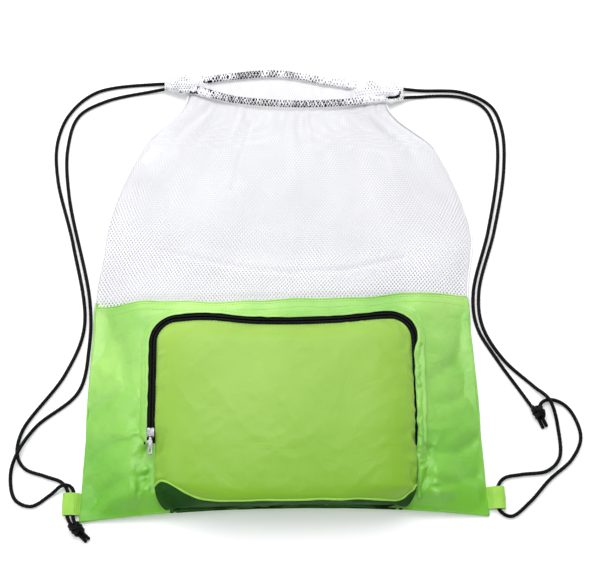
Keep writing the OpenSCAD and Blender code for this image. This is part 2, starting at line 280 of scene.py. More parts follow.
RIGHT_ROUTE = [
    [227.2, -136.8, 2], [220.5, -122, 3.6], [212, -107, 2], [191, -74, 2], [174.5, -42, 2],
    [173, -10, 2], [190, 50, 2], [202, 110, 2], [203, 148, 2], [194, 175, 2],
    [172, 187, 2], [130, 188, 2],
    *beside(FRONT_CASING[1:], -LANE)[::-1], [-76, 192, 9.8],
    *around(-91.6, 201.5, -100, -260, 9.6, 6.8), [-78, 208.6, 5.4],
    *beside(BACK_CASING[1:], LANE),
    [132, 195, 2], [174, 192, 2], [200, 177, 2], [209, 152, 2], [208, 110, 2],
    [195.5, 50, 2], [178, -10, 2], [179.5, -42, 2], [196, -73, 2], [221, -98, 2],
    [234, -112, 5.4], [240, -138, 2], [239, -163, 2], [228, -174, 2], [205, -177, 2],
    [190, -180, 2], [184, -188, 3], [184, -207, 3], [194, -213, 2], [211, -201, 2],
    [229, -182, 2], [250, -164, 2], [259, -145, 2], [253, -123, 2], [244, -113.5, 2],
    [234, -110.8, 2.6], [227, -113.8, 3.8], [224.6, -120.5, 4.4], [230.3, -135.2, 2],
]


def cord_line(route, step):
    line = smooth(route, step)
    line[:, 2] = np.maximum(line[:, 2], CORD / 2 + 0.06)
    return line


for side, route in (("left", LEFT_ROUTE), ("right", RIGHT_ROUTE)):
    print(side, "cord is", round(length_of(cord_line(route, 1))), "mm long")


# %% Tubes and sweeps
def turning_frames(line):
    """Two directions across a line at each point, turned as little as possible."""
    along = np.gradient(line, axis=0)
    along /= np.linalg.norm(along, axis=1, keepdims=True)
    side = np.zeros_like(line)
    first = np.cross(along[0], [0.3, 0.2, 1])
    side[0] = first / np.linalg.norm(first)
    for i in range(1, len(line)):
        s = side[i - 1] - along[i] * (side[i - 1] @ along[i])
        side[i] = s / np.linalg.norm(s)
    return side, np.cross(along, side)


def level_frames(line):
    """Right of a line and up, for things that lie flat."""
    along = np.gradient(line, axis=0)
    along /= np.linalg.norm(along, axis=1, keepdims=True)
    right = np.cross(along, [0, 0, 1.0])
    right /= np.linalg.norm(right, axis=1, keepdims=True)
    return right, np.cross(right, along)


def swept(line, section, frames):
    """Points of a closed section, or of one section for each point, carried along a line, with caps."""
    right, up = frames
    section = np.asarray(section, float)
    if section.ndim == 2:
        section = np.broadcast_to(section, (len(line), *section.shape))
    points = (
        line[:, None]
        + section[..., :1] * right[:, None]
        + section[..., 1:] * up[:, None]
    )
    rows, cols = points.shape[:2]
    faces = grid_faces(rows, cols, wrap=True).tolist()
    faces.append(list(range(cols))[::-1])
    faces.append([(rows - 1) * cols + c for c in range(cols)])
    return points.reshape(-1, 3), faces


def circle(sides):
    turn = np.linspace(0, 2 * np.pi, sides, endpoint=False)
    return np.stack([np.cos(turn), np.sin(turn)], -1)


def join(parts):
    """Several (points, faces) as one."""
    points, faces, n = [], [], 0
    for p, f in parts:
        p = np.asarray(p).reshape(-1, 3)
        points.append(p)
        faces += [[int(i) + n for i in q] for q in f]
        n += len(p)
    return np.concatenate(points), faces


def braided(line, radius, sides=24, strands=4, lay=7.0):
    """A braid: two sets of strands wind opposite ways, and the cord is thicker where one lies on top."""
    turn = np.linspace(0, 2 * np.pi, sides, endpoint=False)
    far = np.linspace(0, length_of(line), len(line))[:, None]
    one = np.cos(strands * turn + far * 2 * np.pi / lay * 2)
    other = np.cos(strands * turn - far * 2 * np.pi / lay * 2)
    r = radius * (0.955 + 0.06 * np.maximum(one, other))
    ends = np.minimum(far, far[::-1])
    r = r * np.sqrt(np.clip((ends + 0.25) / (0.6 * radius), 0.05, 1))
    return swept(line, np.stack([r * np.cos(turn), r * np.sin(turn)], -1), turning_frames(line))

# %% [markdown]
# ## Effects that several materials share
# Every cloth here is woven, knitted or braided, so a weave and an uneven tone belong to all of them.
# Each is a node group with its own inputs, placed in each material with that material's numbers. The
# groups put out only colours, masks and heights; the shader itself stays in the material. The tone's slow
# change along the bag is painted light in the green nylons, and the darker hollows of the wear are painted
# shade.


# %% Node helpers
def add(nodes, kind, **settings):
    node = nodes.new(kind)
    for key, value in settings.items():
        if key[0] == "_":
            node.inputs[int(key[1:])].default_value = value
        else:
            setattr(node, key, value)
    return node


def new_group(name, inputs, outputs):
    group = bpy.data.node_groups.new(name, "ShaderNodeTree")
    for label, kind, value in inputs:
        socket = group.interface.new_socket(label, in_out="INPUT", socket_type=kind)
        if value is not None:
            socket.default_value = value
    for label, kind in outputs:
        group.interface.new_socket(label, in_out="OUTPUT", socket_type=kind)
    return group, group.nodes.new("NodeGroupInput"), group.nodes.new("NodeGroupOutput")


FLOAT, COLOR, VECTOR = "NodeSocketFloat", "NodeSocketColor", "NodeSocketVector"


# %% A plain weave: threads over and under each other
def weave_group():
    group, given, out = new_group(
        "plain_weave",
        [("Vector", VECTOR, None), ("Threads per metre", FLOAT, 2500.0)],
        [("Height", FLOAT), ("Gaps", FLOAT)],
    )
    n, link = group.nodes, group.links.new
    scaled = add(n, "ShaderNodeVectorMath", operation="SCALE")
    link(given.outputs[0], scaled.inputs[0])
    link(given.outputs[1], scaled.inputs["Scale"])
    parts = add(n, "ShaderNodeSeparateXYZ")
    link(scaled.outputs[0], parts.inputs[0])
    waves = []
    for axis in (0, 1):
        wave = add(n, "ShaderNodeMath", operation="SINE")
        turned = add(n, "ShaderNodeMath", operation="MULTIPLY", _1=math.pi)
        link(parts.outputs[axis], turned.inputs[0])
        link(turned.outputs[0], wave.inputs[0])
        waves.append(wave)
    both = add(n, "ShaderNodeMath", operation="MULTIPLY")
    for k in (0, 1):
        link(waves[k].outputs[0], both.inputs[k])
    height = add(n, "ShaderNodeMath", operation="MULTIPLY_ADD", _1=0.5, _2=0.5)
    link(both.outputs[0], height.inputs[0])
    hollow = add(n, "ShaderNodeMath", operation="ABSOLUTE")
    link(both.outputs[0], hollow.inputs[0])
    gaps = add(n, "ShaderNodeMath", operation="LESS_THAN", _1=0.12)
    link(hollow.outputs[0], gaps.inputs[0])
    link(height.outputs[0], out.inputs[0])
    link(gaps.outputs[0], out.inputs[1])
    return group


# %% Uneven tone and painted falloff: broad patches, fine flecks and a slow change along the bag, painted light where a finish's top is lighter than its bottom
def tone_and_falloff_group():
    group, given, out = new_group(
        "cloth_tone_and_painted_falloff",
        [
            ("Vector", VECTOR, None), ("Top", COLOR, None), ("Bottom", COLOR, None),
            ("Deep", COLOR, None), ("Patch size", FLOAT, 12.0), ("Patches", FLOAT, 0.3),
            ("Top y", FLOAT, 0.0), ("Bottom y", FLOAT, -0.2),
        ],
        [("Color", COLOR), ("Patch", FLOAT)],
    )
    n, link = group.nodes, group.links.new
    parts = add(n, "ShaderNodeSeparateXYZ")
    link(given.outputs["Vector"], parts.inputs[0])
    # The slow change from Bottom to Top along Y: in the green nylons it is painted light, lighter towards the
    # far lamp and darker towards the camera.
    slow = add(n, "ShaderNodeMapRange")
    link(parts.outputs[1], slow.inputs["Value"])
    link(given.outputs["Bottom y"], slow.inputs["From Min"])
    link(given.outputs["Top y"], slow.inputs["From Max"])
    along = add(n, "ShaderNodeMix", data_type="RGBA")
    link(slow.outputs[0], along.inputs["Factor"])
    link(given.outputs["Bottom"], along.inputs["A"])
    link(given.outputs["Top"], along.inputs["B"])
    patch = add(n, "ShaderNodeTexNoise", noise_dimensions="3D")
    patch.inputs["Detail"].default_value = 4.0
    link(given.outputs["Vector"], patch.inputs["Vector"])
    link(given.outputs["Patch size"], patch.inputs["Scale"])
    spread = add(n, "ShaderNodeMapRange", _1=0.35, _2=0.7)
    link(patch.outputs[0], spread.inputs["Value"])
    share = add(n, "ShaderNodeMath", operation="MULTIPLY")
    link(spread.outputs[0], share.inputs[0])
    link(given.outputs["Patches"], share.inputs[1])
    toned = add(n, "ShaderNodeMix", data_type="RGBA")
    link(share.outputs[0], toned.inputs["Factor"])
    link(along.outputs["Result"], toned.inputs["A"])
    link(given.outputs["Deep"], toned.inputs["B"])
    link(toned.outputs["Result"], out.inputs[0])
    link(spread.outputs[0], out.inputs[1])
    return group


# %% Crumple: the small soft dents of handled cloth
def crumple_group():
    group, given, out = new_group(
        "crumple",
        [("Vector", VECTOR, None), ("Size", FLOAT, 60.0), ("Warp", FLOAT, 0.6)],
        [("Height", FLOAT)],
    )
    n, link = group.nodes, group.links.new
    dents = add(n, "ShaderNodeTexNoise", noise_dimensions="3D")
    dents.inputs["Detail"].default_value = 3.0
    dents.inputs["Roughness"].default_value = 0.55
    link(given.outputs["Vector"], dents.inputs["Vector"])
    link(given.outputs["Size"], dents.inputs["Scale"])
    link(given.outputs["Warp"], dents.inputs["Distortion"])
    folded = add(n, "ShaderNodeMath", operation="SUBTRACT", _1=0.5)
    link(dents.outputs[0], folded.inputs[0])
    sharp = add(n, "ShaderNodeMath", operation="ABSOLUTE")
    link(folded.outputs[0], sharp.inputs[0])
    link(sharp.outputs[0], out.inputs[0])
    return group


# %% Wear and painted shade: paler high edges from wear, and darker hollows painted as shade
def wear_and_shade_group():
    group, given, out = new_group(
        "edge_wear_and_hollow_shade",
        [("Color", COLOR, None), ("Edge", COLOR, None), ("Hollow", COLOR, None), ("Amount", FLOAT, 0.5)],
        [("Color", COLOR)],
    )
    n, link = group.nodes, group.links.new
    shape = add(n, "ShaderNodeNewGeometry")
    last = given.outputs["Color"]
    # Paler high edges are wear; darker hollows, found by pointiness, are painted shade.
    for low, high, tint in ((0.52, 0.6, "Edge"), (0.48, 0.4, "Hollow")):
        reach = add(n, "ShaderNodeMapRange", _1=low, _2=high)
        link(shape.outputs["Pointiness"], reach.inputs["Value"])
        share = add(n, "ShaderNodeMath", operation="MULTIPLY")
        link(reach.outputs[0], share.inputs[0])
        link(given.outputs["Amount"], share.inputs[1])
        blend = add(n, "ShaderNodeMix", data_type="RGBA")
        link(share.outputs[0], blend.inputs["Factor"])
        link(last, blend.inputs["A"])
        link(given.outputs[tint], blend.inputs["B"])
        last = blend.outputs["Result"]
    link(last, out.inputs[0])
    return group


GROUPS = {"weave": weave_group(), "tone_and_falloff": tone_and_falloff_group(), "crumple": crumple_group(), "wear_and_shade": wear_and_shade_group()}
print("shared effects:", ", ".join(GROUPS))

# %% [markdown]
# ## The finishes
# One function puts a finish together: tone for the colour, with a slow change along the bag that is painted
# light in the green nylons, wear on its edges and painted shade in its hollows, a weave and a crumple for the
# bump. What makes nylon nylon and cord cord is in the numbers: how fine the threads are, how much light
# slides off, and how much sheen its filaments give. The sheen is a number on the shader's own socket, so that
# it survives being exported.


# %% One finish
def finish(
    name, top, bottom, deep, edge, rough=0.5, threads=2500, weave_depth=0.00005, patch=12.0, patches=0.3,
    span=(0.0, -0.2), dents=60.0, dent_depth=0.0, wear_and_shade=0.4, metallic=0.0, gap_tint=0.0, **sockets
):
    made = bpy.data.materials.new(name)
    made.use_nodes = True
    n, link = made.node_tree.nodes, made.node_tree.links.new
    shader = n["Principled BSDF"]
    place = add(n, "ShaderNodeTexCoord")

    def group(key, **values):
        node = add(n, "ShaderNodeGroup", node_tree=GROUPS[key])
        for label, value in values.items():
            node.inputs[label.replace("_", " ")].default_value = value
        if "Vector" in node.inputs:
            link(place.outputs["Object"], node.inputs["Vector"])
        return node

    full = lambda c: (*c, 1.0)
    # Tone; in the green nylons its slow change along Y is painted light.
    tone_and_falloff = group("tone_and_falloff", Top=full(top), Bottom=full(bottom), Deep=full(deep), Patch_size=patch,
                 Patches=patches, Top_y=span[0], Bottom_y=span[1])
    # Wear on the edges, and painted shade in the hollows in the deep colour.
    worn_and_shaded = group("wear_and_shade", Edge=full(edge), Hollow=full(deep), Amount=wear_and_shade)
    link(tone_and_falloff.outputs["Color"], worn_and_shaded.inputs["Color"])
    woven = group("weave", Threads_per_metre=float(threads))
    shade = add(n, "ShaderNodeMix", data_type="RGBA", blend_type="MULTIPLY")
    amount = add(n, "ShaderNodeMath", operation="MULTIPLY", _1=gap_tint)
    link(woven.outputs["Gaps"], amount.inputs[0])
    link(amount.outputs[0], shade.inputs["Factor"])
    link(worn_and_shaded.outputs["Color"], shade.inputs["A"])
    shade.inputs["B"].default_value = (0.35, 0.35, 0.35, 1)
    link(shade.outputs["Result"], shader.inputs["Base Color"])
    gloss = add(n, "ShaderNodeMapRange", _3=rough - 0.06, _4=rough + 0.08)
    link(tone_and_falloff.outputs["Patch"], gloss.inputs["Value"])
    link(gloss.outputs[0], shader.inputs["Roughness"])
    threads_up = add(n, "ShaderNodeBump")
    threads_up.inputs["Distance"].default_value = weave_depth
    threads_up.inputs["Strength"].default_value = 0.8
    link(woven.outputs["Height"], threads_up.inputs["Height"])
    last = threads_up
    if dent_depth:
        dented = add(n, "ShaderNodeBump")
        dented.inputs["Distance"].default_value = dent_depth
        link(group("crumple", Size=dents).outputs[0], dented.inputs["Height"])
        link(threads_up.outputs[0], dented.inputs["Normal"])
        last = dented
    link(last.outputs[0], shader.inputs["Normal"])
    shader.inputs["Metallic"].default_value = metallic
    for label, value in sockets.items():
        shader.inputs[label.replace("_", " ")].default_value = value
    return made


# %% Nylon, net, cord, zip and label
# Painted light: the lime nylon's lighter, yellower top and darker bottom stand in for the far lamp's light
# falling off down the bag.
NYLON = finish(
    "lime_nylon", (0.40, 0.68, 0.17), (0.14, 0.435, 0.012), (0.08, 0.34, 0.012), (0.5, 0.82, 0.3),
    rough=0.4, threads=3300, weave_depth=0.00003, patch=16, patches=0.6, span=(-0.015, -0.2),
    dents=38, dent_depth=0.0022, wear_and_shade=0.35, Sheen_Weight=0.25, Sheen_Roughness=0.35,
    Sheen_Tint=(0.8, 1, 0.7, 1), Specular_IOR_Level=0.6,
)
# Painted light: the pocket's face is likewise lighter at its top than at its bottom, for the same falloff.
FACE_NYLON = finish(
    "pocket_nylon", (0.29, 0.48, 0.065), (0.185, 0.385, 0.016), (0.13, 0.32, 0.012), (0.42, 0.66, 0.15),
    rough=0.42, threads=3300, weave_depth=0.00003, patch=9, patches=0.3, span=(-0.04, -0.19),
    dents=30, dent_depth=0.0010, wear_and_shade=0.3, Sheen_Weight=0.25, Sheen_Roughness=0.35,
    Sheen_Tint=(0.85, 1, 0.7, 1), Specular_IOR_Level=0.4,
)
# Painted shade: a dark green nylon put where shade falls, on the bottom wall under the pocket's lip and on
# the panel and seam just below it.
PAINTED_SHADE_NYLON = finish(
    "painted_shade_nylon", (0.020, 0.105, 0.008), (0.011, 0.066, 0.005), (0.004, 0.022, 0.002), (0.05, 0.2, 0.02),
    rough=0.6, threads=3300, weave_depth=0.00003, patch=30, patches=0.6, dents=60, dent_depth=0.0014,
    Sheen_Weight=0.0, Specular_IOR_Level=0.08,
)
LOOP_WEBBING = finish(
    "loop_webbing", (0.36, 0.66, 0.10), (0.31, 0.60, 0.07), (0.17, 0.44, 0.03), (0.62, 0.85, 0.36),
    rough=0.55, threads=1500, weave_depth=0.00012, patch=120, patches=0.35, wear_and_shade=0.5,
    gap_tint=0.25, Sheen_Weight=0.2, Specular_IOR_Level=0.3,
)
NET_YARN = finish(
    "net_yarn", (0.82, 0.815, 0.835), (0.82, 0.82, 0.835), (0.66, 0.65, 0.70), (0.88, 0.88, 0.89),
    rough=0.55, threads=4200, weave_depth=0.00004, patch=16, patches=0.45, wear_and_shade=0.2,
    Sheen_Weight=0.15, Specular_IOR_Level=0.35,
)
BLACK_CORD = finish(
    "braided_cord", (0.002, 0.002, 0.0022), (0.0018, 0.0018, 0.002), (0.0006, 0.0006, 0.0008),
    (0.007, 0.007, 0.008), rough=0.52, threads=3000, weave_depth=0.00006, patch=200, patches=0.5, wear_and_shade=0.5,
    Sheen_Weight=0.005, Sheen_Roughness=0.4, Specular_IOR_Level=0.1,
)
ZIP_TAPE = finish(
    "zip_tape_weave", (0.003, 0.003, 0.004), (0.0025, 0.0025, 0.0035), (0.001, 0.001, 0.0012),
    (0.011, 0.011, 0.013), rough=0.62, threads=1800, weave_depth=0.00010, patch=150, patches=0.5,
    wear_and_shade=0.5, Sheen_Weight=0.005, Specular_IOR_Level=0.08,
)
ZIP_COIL = finish(
    "zip_coil_nylon", (0.004, 0.004, 0.005), (0.003, 0.003, 0.004), (0.0012, 0.0012, 0.0016),
    (0.014, 0.014, 0.016), rough=0.36, threads=5200, weave_depth=0.00001, patch=300, patches=0.4, wear_and_shade=0.6,
    Specular_IOR_Level=0.25,
)
BLACK_THREAD = finish(
    "black_thread", (0.010, 0.010, 0.013), (0.009, 0.009, 0.012), (0.004, 0.004, 0.005), (0.03, 0.03, 0.034),
    rough=0.5, threads=6000, weave_depth=0.00003, patch=400, patches=0.5, Sheen_Weight=0.05,
)
GREEN_THREAD = finish(
    "green_thread", (0.30, 0.66, 0.13), (0.24, 0.58, 0.08), (0.14, 0.42, 0.04), (0.55, 0.85, 0.4),
    rough=0.45, threads=6000, weave_depth=0.00003, patch=400, patches=0.5, Sheen_Weight=0.25,
)
WHITE_THREAD = finish(
    "white_thread", (0.86, 0.86, 0.88), (0.86, 0.86, 0.88), (0.7, 0.7, 0.74), (0.95, 0.95, 0.96),
    rough=0.5, threads=6000, weave_depth=0.00003, patch=400, patches=0.5, Sheen_Weight=0.2,
)
NICKEL = finish(
    "plated_nickel", (0.27, 0.275, 0.28), (0.23, 0.235, 0.24), (0.06, 0.06, 0.065), (0.75, 0.75, 0.77),
    rough=0.3, threads=900, weave_depth=0.0, patch=260, patches=0.5, dents=700, dent_depth=0.00004,
    wear_and_shade=0.5, metallic=1.0,
)
LABEL_SATIN = finish(
    "label_satin", (0.80, 0.80, 0.83), (0.76, 0.76, 0.80), (0.5, 0.5, 0.56), (0.92, 0.92, 0.94),
    rough=0.3, threads=4200, weave_depth=0.00003, patch=60, patches=0.4, Sheen_Weight=0.4,
)
print(len(bpy.data.materials), "finishes")

# %% [markdown]
# ## The floor and the light
# The bag lies on a plain pale floor under soft studio light: a broad lamp above and beyond the mouth,
# so that the walls that face the camera fall into shade, a weak one from the left, another straight
# above and pale air all round. The floor is a shallow bowl, flat round the bag, that curves up on every
# side further out. It glows faintly, like a light table, so it stays nearly white up to the bag.


# %% Floor, lamps and air
FLOOR_HALF, FLOOR_POINTS, FLAT_R, CURVE_R, CURVE_RISE = 3200, 81, 1100, 1200, 800


def floor():
    steps = np.linspace(-FLOOR_HALF, FLOOR_HALF, FLOOR_POINTS)
    x, y = np.meshgrid(steps, steps)
    rise = CURVE_RISE * (np.maximum(np.hypot(x, y) - FLAT_R, 0) / CURVE_R) ** 2
    grid = np.stack([x, y, rise], -1)
    made = finish(
        "pale_floor", (0.90, 0.90, 0.90), (0.90, 0.90, 0.90), (0.87, 0.87, 0.88), (0.9, 0.9, 0.9),
        rough=0.75, threads=400, weave_depth=0.0, patch=3, patches=0.3, Specular_IOR_Level=0.15,
        Emission_Color=(1, 1, 1, 1), Emission_Strength=0.16,
    )
    mesh = bpy.data.meshes.new("floor")
    mesh.from_pydata((grid.reshape(-1, 3) * MM).tolist(), [], grid_faces(FLOOR_POINTS, FLOOR_POINTS).tolist())
    mesh.polygons.foreach_set("use_smooth", [True] * len(mesh.polygons))
    mesh.materials.append(made)
    sheet = bpy.data.objects.new("floor", mesh)
    bpy.context.scene.collection.objects.link(sheet)
    sheet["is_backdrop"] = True


def lamp(name, at, aim, size, watts, tint=(1, 1, 1)):
    made = bpy.data.objects.new(name, bpy.data.lights.new(name, "AREA"))
    made.data.shape, made.data.size, made.data.energy, made.data.color = "DISK", size, watts, tint
    made.location = at
    made.rotation_euler = (Vector(aim) - Vector(at)).to_track_quat("-Z", "Y").to_euler()
    bpy.context.scene.collection.objects.link(made)


floor()
lamp("lamp_far", (-0.12, 0.75, 1.25), (0, 0.1, 0), 1.5, 18)
lamp("lamp_left", (-1.1, -0.1, 1.0), (0, -0.05, 0), 0.7, 4)
lamp("lamp_top", (0.15, 0.1, 1.6), (0, 0, 0), 1.7, 6)
air = bpy.data.worlds.new("air")
air.use_nodes = True
air.node_tree.nodes["Background"].inputs["Color"].default_value = (0.96, 0.98, 1, 1)
air.node_tree.nodes["Background"].inputs["Strength"].default_value = 0.4
bpy.context.scene.world = air
bpy.context.scene.view_settings.view_transform = "Standard"

# %% [markdown]
# ## The two cords and their knots
# Both cords go in before anything else, because they are the longest pieces and everything at the mouth
# and at the loops has to fit round them. A knot is more cord: three turns pulled tight round the strands
# that they hold, and a bight across them. The cord's own two cut ends stick out of it, side by side.


# %% Cords
BRAID_STEP, GUIDE_STEP = 0.85, 4.0


def lay_cord(word, route):
    line = cord_line(route, BRAID_STEP)
    made = piece(f"{word}_cord", *braided(line, CORD / 2), BLACK_CORD, "black_cord",
                 stands_for=[f"cord_{word}"])
    guide = cord_line(route, GUIDE_STEP) * MM
    print(word, "cord runs", round(length_of(line)), "mm")


def tie_knot(name, at, turn, stands_for):
    """Three slanted turns of cord round a bundle that runs along `turn`, and a bight that crosses them."""
    a = np.linspace(0, 2 * np.pi, 61)
    parts = []
    for shift, tilt, r in ((-3.0, 0.5, 3.9), (0.4, 0.62, 4.2), (3.5, -0.42, 3.7)):
        turn_line = np.stack([shift + tilt * r * np.sin(a), r * np.cos(a), 0.92 * r * np.sin(a)], 1)
        parts.append(braided(turn_line[:-1], 1.55, sides=20))
    bight = smooth(
        [[-6.6, -1.8, -1.2], [-5.0, -3.3, 2.0], [-0.6, -0.6, 5.2], [3.6, 2.6, 3.6], [6.4, 1.8, -0.6]], 0.5
    )
    parts.append(braided(bight, 1.5, sides=20))
    points, faces = join(parts)
    c, s = math.cos(math.radians(turn)), math.sin(math.radians(turn))
    points = points @ np.array([[c, s, 0], [-s, c, 0], [0, 0, 1]]) + np.asarray(at)
    points[:, 2] = np.maximum(points[:, 2], 0.15)
    return piece(name, points, faces, BLACK_CORD, "black_cord", stands_for=[stands_for])


left_knot = tie_knot("overhand_knot_left", (-176.6, -218.3, 5.4), -47, "knot_left")
right_knot = tie_knot("overhand_knot_right", (223.3, -122.3, 5.4), -66, "knot_right")
lay_cord("left", LEFT_ROUTE)
lay_cord("right", RIGHT_ROUTE)

# %% [markdown]
# ## The shape of the bag
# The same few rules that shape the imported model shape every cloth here: how wide the bag is at each
# height, how high the stuffed front stands, and where the casings run. `u` runs from -1 at the left
# seam to 1 at the right one, and `y` from the bottom seam to the mouth.

# %% Outline and heights
BAG_W, WAIST_W, NYLON_H, HALF_H = 350, 334, 198, 212
CLOTH_T = 0.5
FILL_H, MESH_H, SEAM_LIFT, SEAM_TUCK, MESH_LEAN, SEAM_TOP = 22, 15, 13, 7, 7, 2.4
WAIST_Y = NYLON_H - HALF_H
CASING_W = 9


def half_w(y):
    return mix(BAG_W, WAIST_W, (y + HALF_H) / NYLON_H) / 2


def seam_bow(u):
    return 1 - np.abs(u) ** 2.2


def seam_y(u):
    return SEAM_TUCK * seam_bow(u) - HALF_H


def side_slope(u):
    return ease((1 - np.abs(u)) / 0.28)


def fill_at(y):
    return mix(FILL_H, FILL_H - 5, ease((y + 36) / 24))


def front_top(u, y):
    rise = (fill_at(y) - SEAM_TOP) * side_slope(u)
    return SEAM_TOP + mix(SEAM_LIFT * seam_bow(u), rise, ease((y - seam_y(u)) / 16))


def back_low(u, y):
    return SEAM_LIFT * seam_bow(u) * (1 - ease((y - seam_y(u)) / 28))


# %% The zip's line, which sags a little along its top run
ZIP_HALF, ZIP_TOP, ZIP_R, POCKET_DX, ZIP_Z, FOLD_Y = 115, -38, 22, 2, 24.7, -145


def sag(x, y):
    """How far the pocket's top edge has dropped between its corners."""
    reach = ease((np.asarray(y) + 80) / 38)
    bay = np.clip(1 - ((np.asarray(x) - 12) / 88) ** 2, 0, 1)
    lift = 2.2 * np.exp(-(((np.asarray(x) + 62) / 26) ** 2))
    lift = lift + 1.0 * np.exp(-(((np.asarray(x) - 84) / 20) ** 2))
    return reach * (-3.6 * bay ** 1.2 + lift)


def zip_line(left_y, right_y, step=1.0, offset=0.0, z=ZIP_Z):
    """The zip's path, `offset` millimetres inwards from its middle line."""
    r = ZIP_R - offset
    left, right, top = POCKET_DX - ZIP_HALF, POCKET_DX + ZIP_HALF, ZIP_TOP - ZIP_R
    arc = np.radians(np.linspace(180, 90, 40))
    one = [[left + ZIP_R + r * math.cos(a), top + r * math.sin(a)] for a in arc]
    two = [[2 * POCKET_DX - x, y] for x, y in one[::-1]]
    flat = [[left + offset, left_y], *one, *two, [right - offset, right_y]]
    line = even(np.array([[x, y, z] for x, y in flat], float), step)
    line[:, 1] += sag(line[:, 0], line[:, 1])
    return line


print("zip is", round(length_of(zip_line(-150, -155))), "mm long")

# %% [markdown]
# ## The green cloths
# The front panel is stretched over what is in the bag, so it isn't smooth: long soft folds run from the
# pocket's corners to the loops, short ones gather along the zip, and the whole is faintly crumpled from
# being folded away. All of that is a height on a fine grid. Under the zip the cloth is held flat. The
# back panel lies on the floor and gets shallow folds only.


# %% Front and back panels
def valley(x, y, path, deep, wide):
    """A narrow valley along a path in a cloth."""
    near = np.full(np.shape(x), 1e9)
    for a, b in zip(path[:-1], path[1:]):
        ax, ay, bx, by = *a, *b
        t = np.clip(((x - ax) * (bx - ax) + (y - ay) * (by - ay)) / ((bx - ax) ** 2 + (by - ay) ** 2), 0, 1)
        near = np.minimum(near, np.hypot(x - ax - t * (bx - ax), y - ay - t * (by - ay)))
    return -deep * np.exp(-((near / wide) ** 2))


PANEL_CREASES = [
    ([(-173, -122), (-152, -108), (-134, -100)], 1.5, 7.0),
    ([(-172, -162), (-148, -150), (-128, -148)], 2.3, 6.5),
    ([(-162, -194), (-142, -182), (-122, -178)], 2.0, 5.0),
    ([(-156, -30), (-143, -60), (-136, -96)], 1.9, 6.0),
    ([(172, -144), (150, -158), (126, -160)], 2.8, 5.0),
    ([(168, -178), (146, -186), (124, -190)], 2.2, 4.5),
    ([(162, -52), (150, -78), (130, -94)], 2.2, 6.0),
    ([(172, -92), (152, -112), (132, -120)], 2.2, 5.5),
]


def zip_distance(x, y):
    """Distance from the zip's line or from the pocket's foot, in millimetres."""
    dx, dy = np.abs(x - POCKET_DX) - (ZIP_HALF - ZIP_R), y - sag(x, y) - (ZIP_TOP - ZIP_R)
    outside = np.hypot(np.maximum(dx, 0), np.maximum(dy, 0)) + np.minimum(np.maximum(dx, dy), 0)
    return np.abs(outside - ZIP_R), outside - ZIP_R


def panel_folds(x, y):
    near, signed = zip_distance(x, y)
    held = ease((near - 5) / 9) * ease((y + 212) / 12) * mix(0.35, 1, ease((-19 - y) / 16))
    side = np.abs(x) / 175
    low = ease((-60 - y) / 110)
    broad = 2.3 * noise(x, y, 52, 3) + 1.3 * noise(x, y, 26, 4)
    slant = 2.8 * creases(x, y, 27, 62, 2.4, 5) * np.where(x < 0, 1.0, 0.6)
    back_slant = 2.8 * creases(x, y, 30, -38, 2.2, 6) * np.where(x > 0, 1.0, 0.5)
    gathers = 1.5 * creases(x, y, 9, 8, 1.6, 8) * np.exp(-((near - 10) / 10) ** 2) * low
    beside_pocket = ease((-149 - y) / 6) * ease((y + 203) / 8) * (signed > 0)
    puckers = (1.5 * creases(x, y, 6.5, 75, 2.6, 11) + 1.1 * creases(x, y, 5, 20, 1.8, 12)) * beside_pocket
    puckers = puckers * np.exp(-((near - 4) / 8) ** 2)
    fine = 0.42 * creases(x, y, 15, 25, 1.5, 9) + 0.25 * noise(x, y, 7, 10)
    slope = (y + 197) + (175 - np.abs(x)) * 0.42
    loop_pull = 1.5 * np.exp(-(slope / 9) ** 2) * ease((np.abs(x) - 118) / 30)
    edge = ease((1 - side) / 0.06)
    folds = edge * (broad + (slant + back_slant) * mix(0.45, 1, low) + loop_pull) + fine + gathers
    folds = folds + edge * sum(valley(x, y, *crease) for crease in PANEL_CREASES)
    return held * folds + puckers


def waist_edge(u):
    """The green cloth's top edge waves a little."""
    return -15.5 - 4.2 * (1 - u ** 2) + 2.6 * u + 0.8 * np.sin(9 * u + 1) + 0.5 * np.sin(23 * u)


def shade(made, where):
    """Give the dark painted-shade nylon to the faces that `where` marks, on both sides of a sheet."""
    made.data.materials.append(PAINTED_SHADE_NYLON)
    for polygon, shaded in zip(made.data.polygons, np.tile(where.ravel(), 2)):
        polygon.material_index = int(shaded)


def front_grid(rows=120, cols=230):
    u = np.sin(np.linspace(-1, 1, cols) * 1.25) / math.sin(1.25)
    v = np.linspace(0, 1, rows)[:, None]
    y = mix(seam_y(u)[None], waist_edge(u)[None], v)
    x = u[None] * half_w(y)
    wander = 0.7 * noise(y, 0 * y, 24, 31) * np.sign(u)[None] * ease((np.abs(u[None]) - 0.9) / 0.1)
    z = front_top(u[None], y) - 0.3 + panel_folds(x, y)
    return np.stack([x + wander, y, np.maximum(z, SEAM_TOP - 0.6)], -1)


front = front_grid()
front_cloth = sheet_piece(
    "front_cloth", front, CLOTH_T, NYLON, "green_nylon", stands_for=["front_panel"]
)
# Painted shade: the panel's lowest strip under the pocket gets the dark nylon.
corners = front[:-1, :-1]
in_shade = (corners[..., 2] < 17.5) & (np.abs(corners[..., 0] - POCKET_DX) < 99) & (corners[..., 1] < -197)
shade(front_cloth, in_shade)


def back_grid(rows=60, cols=120):
    u = np.linspace(-1, 1, cols)
    y = mix(seam_y(u)[None], WAIST_Y + 0 * u[None], np.linspace(0, 1, rows)[:, None])
    x = u[None] * half_w(y)
    folds = 0.5 * (creases(x, y, 28, 30, 2, 12) + 1.6) * ease((1 - np.abs(u)) / 0.1)[None]
    return np.stack([x, y, back_low(u[None], y) + 0.5 + np.clip(folds, 0, 1.2)], -1)


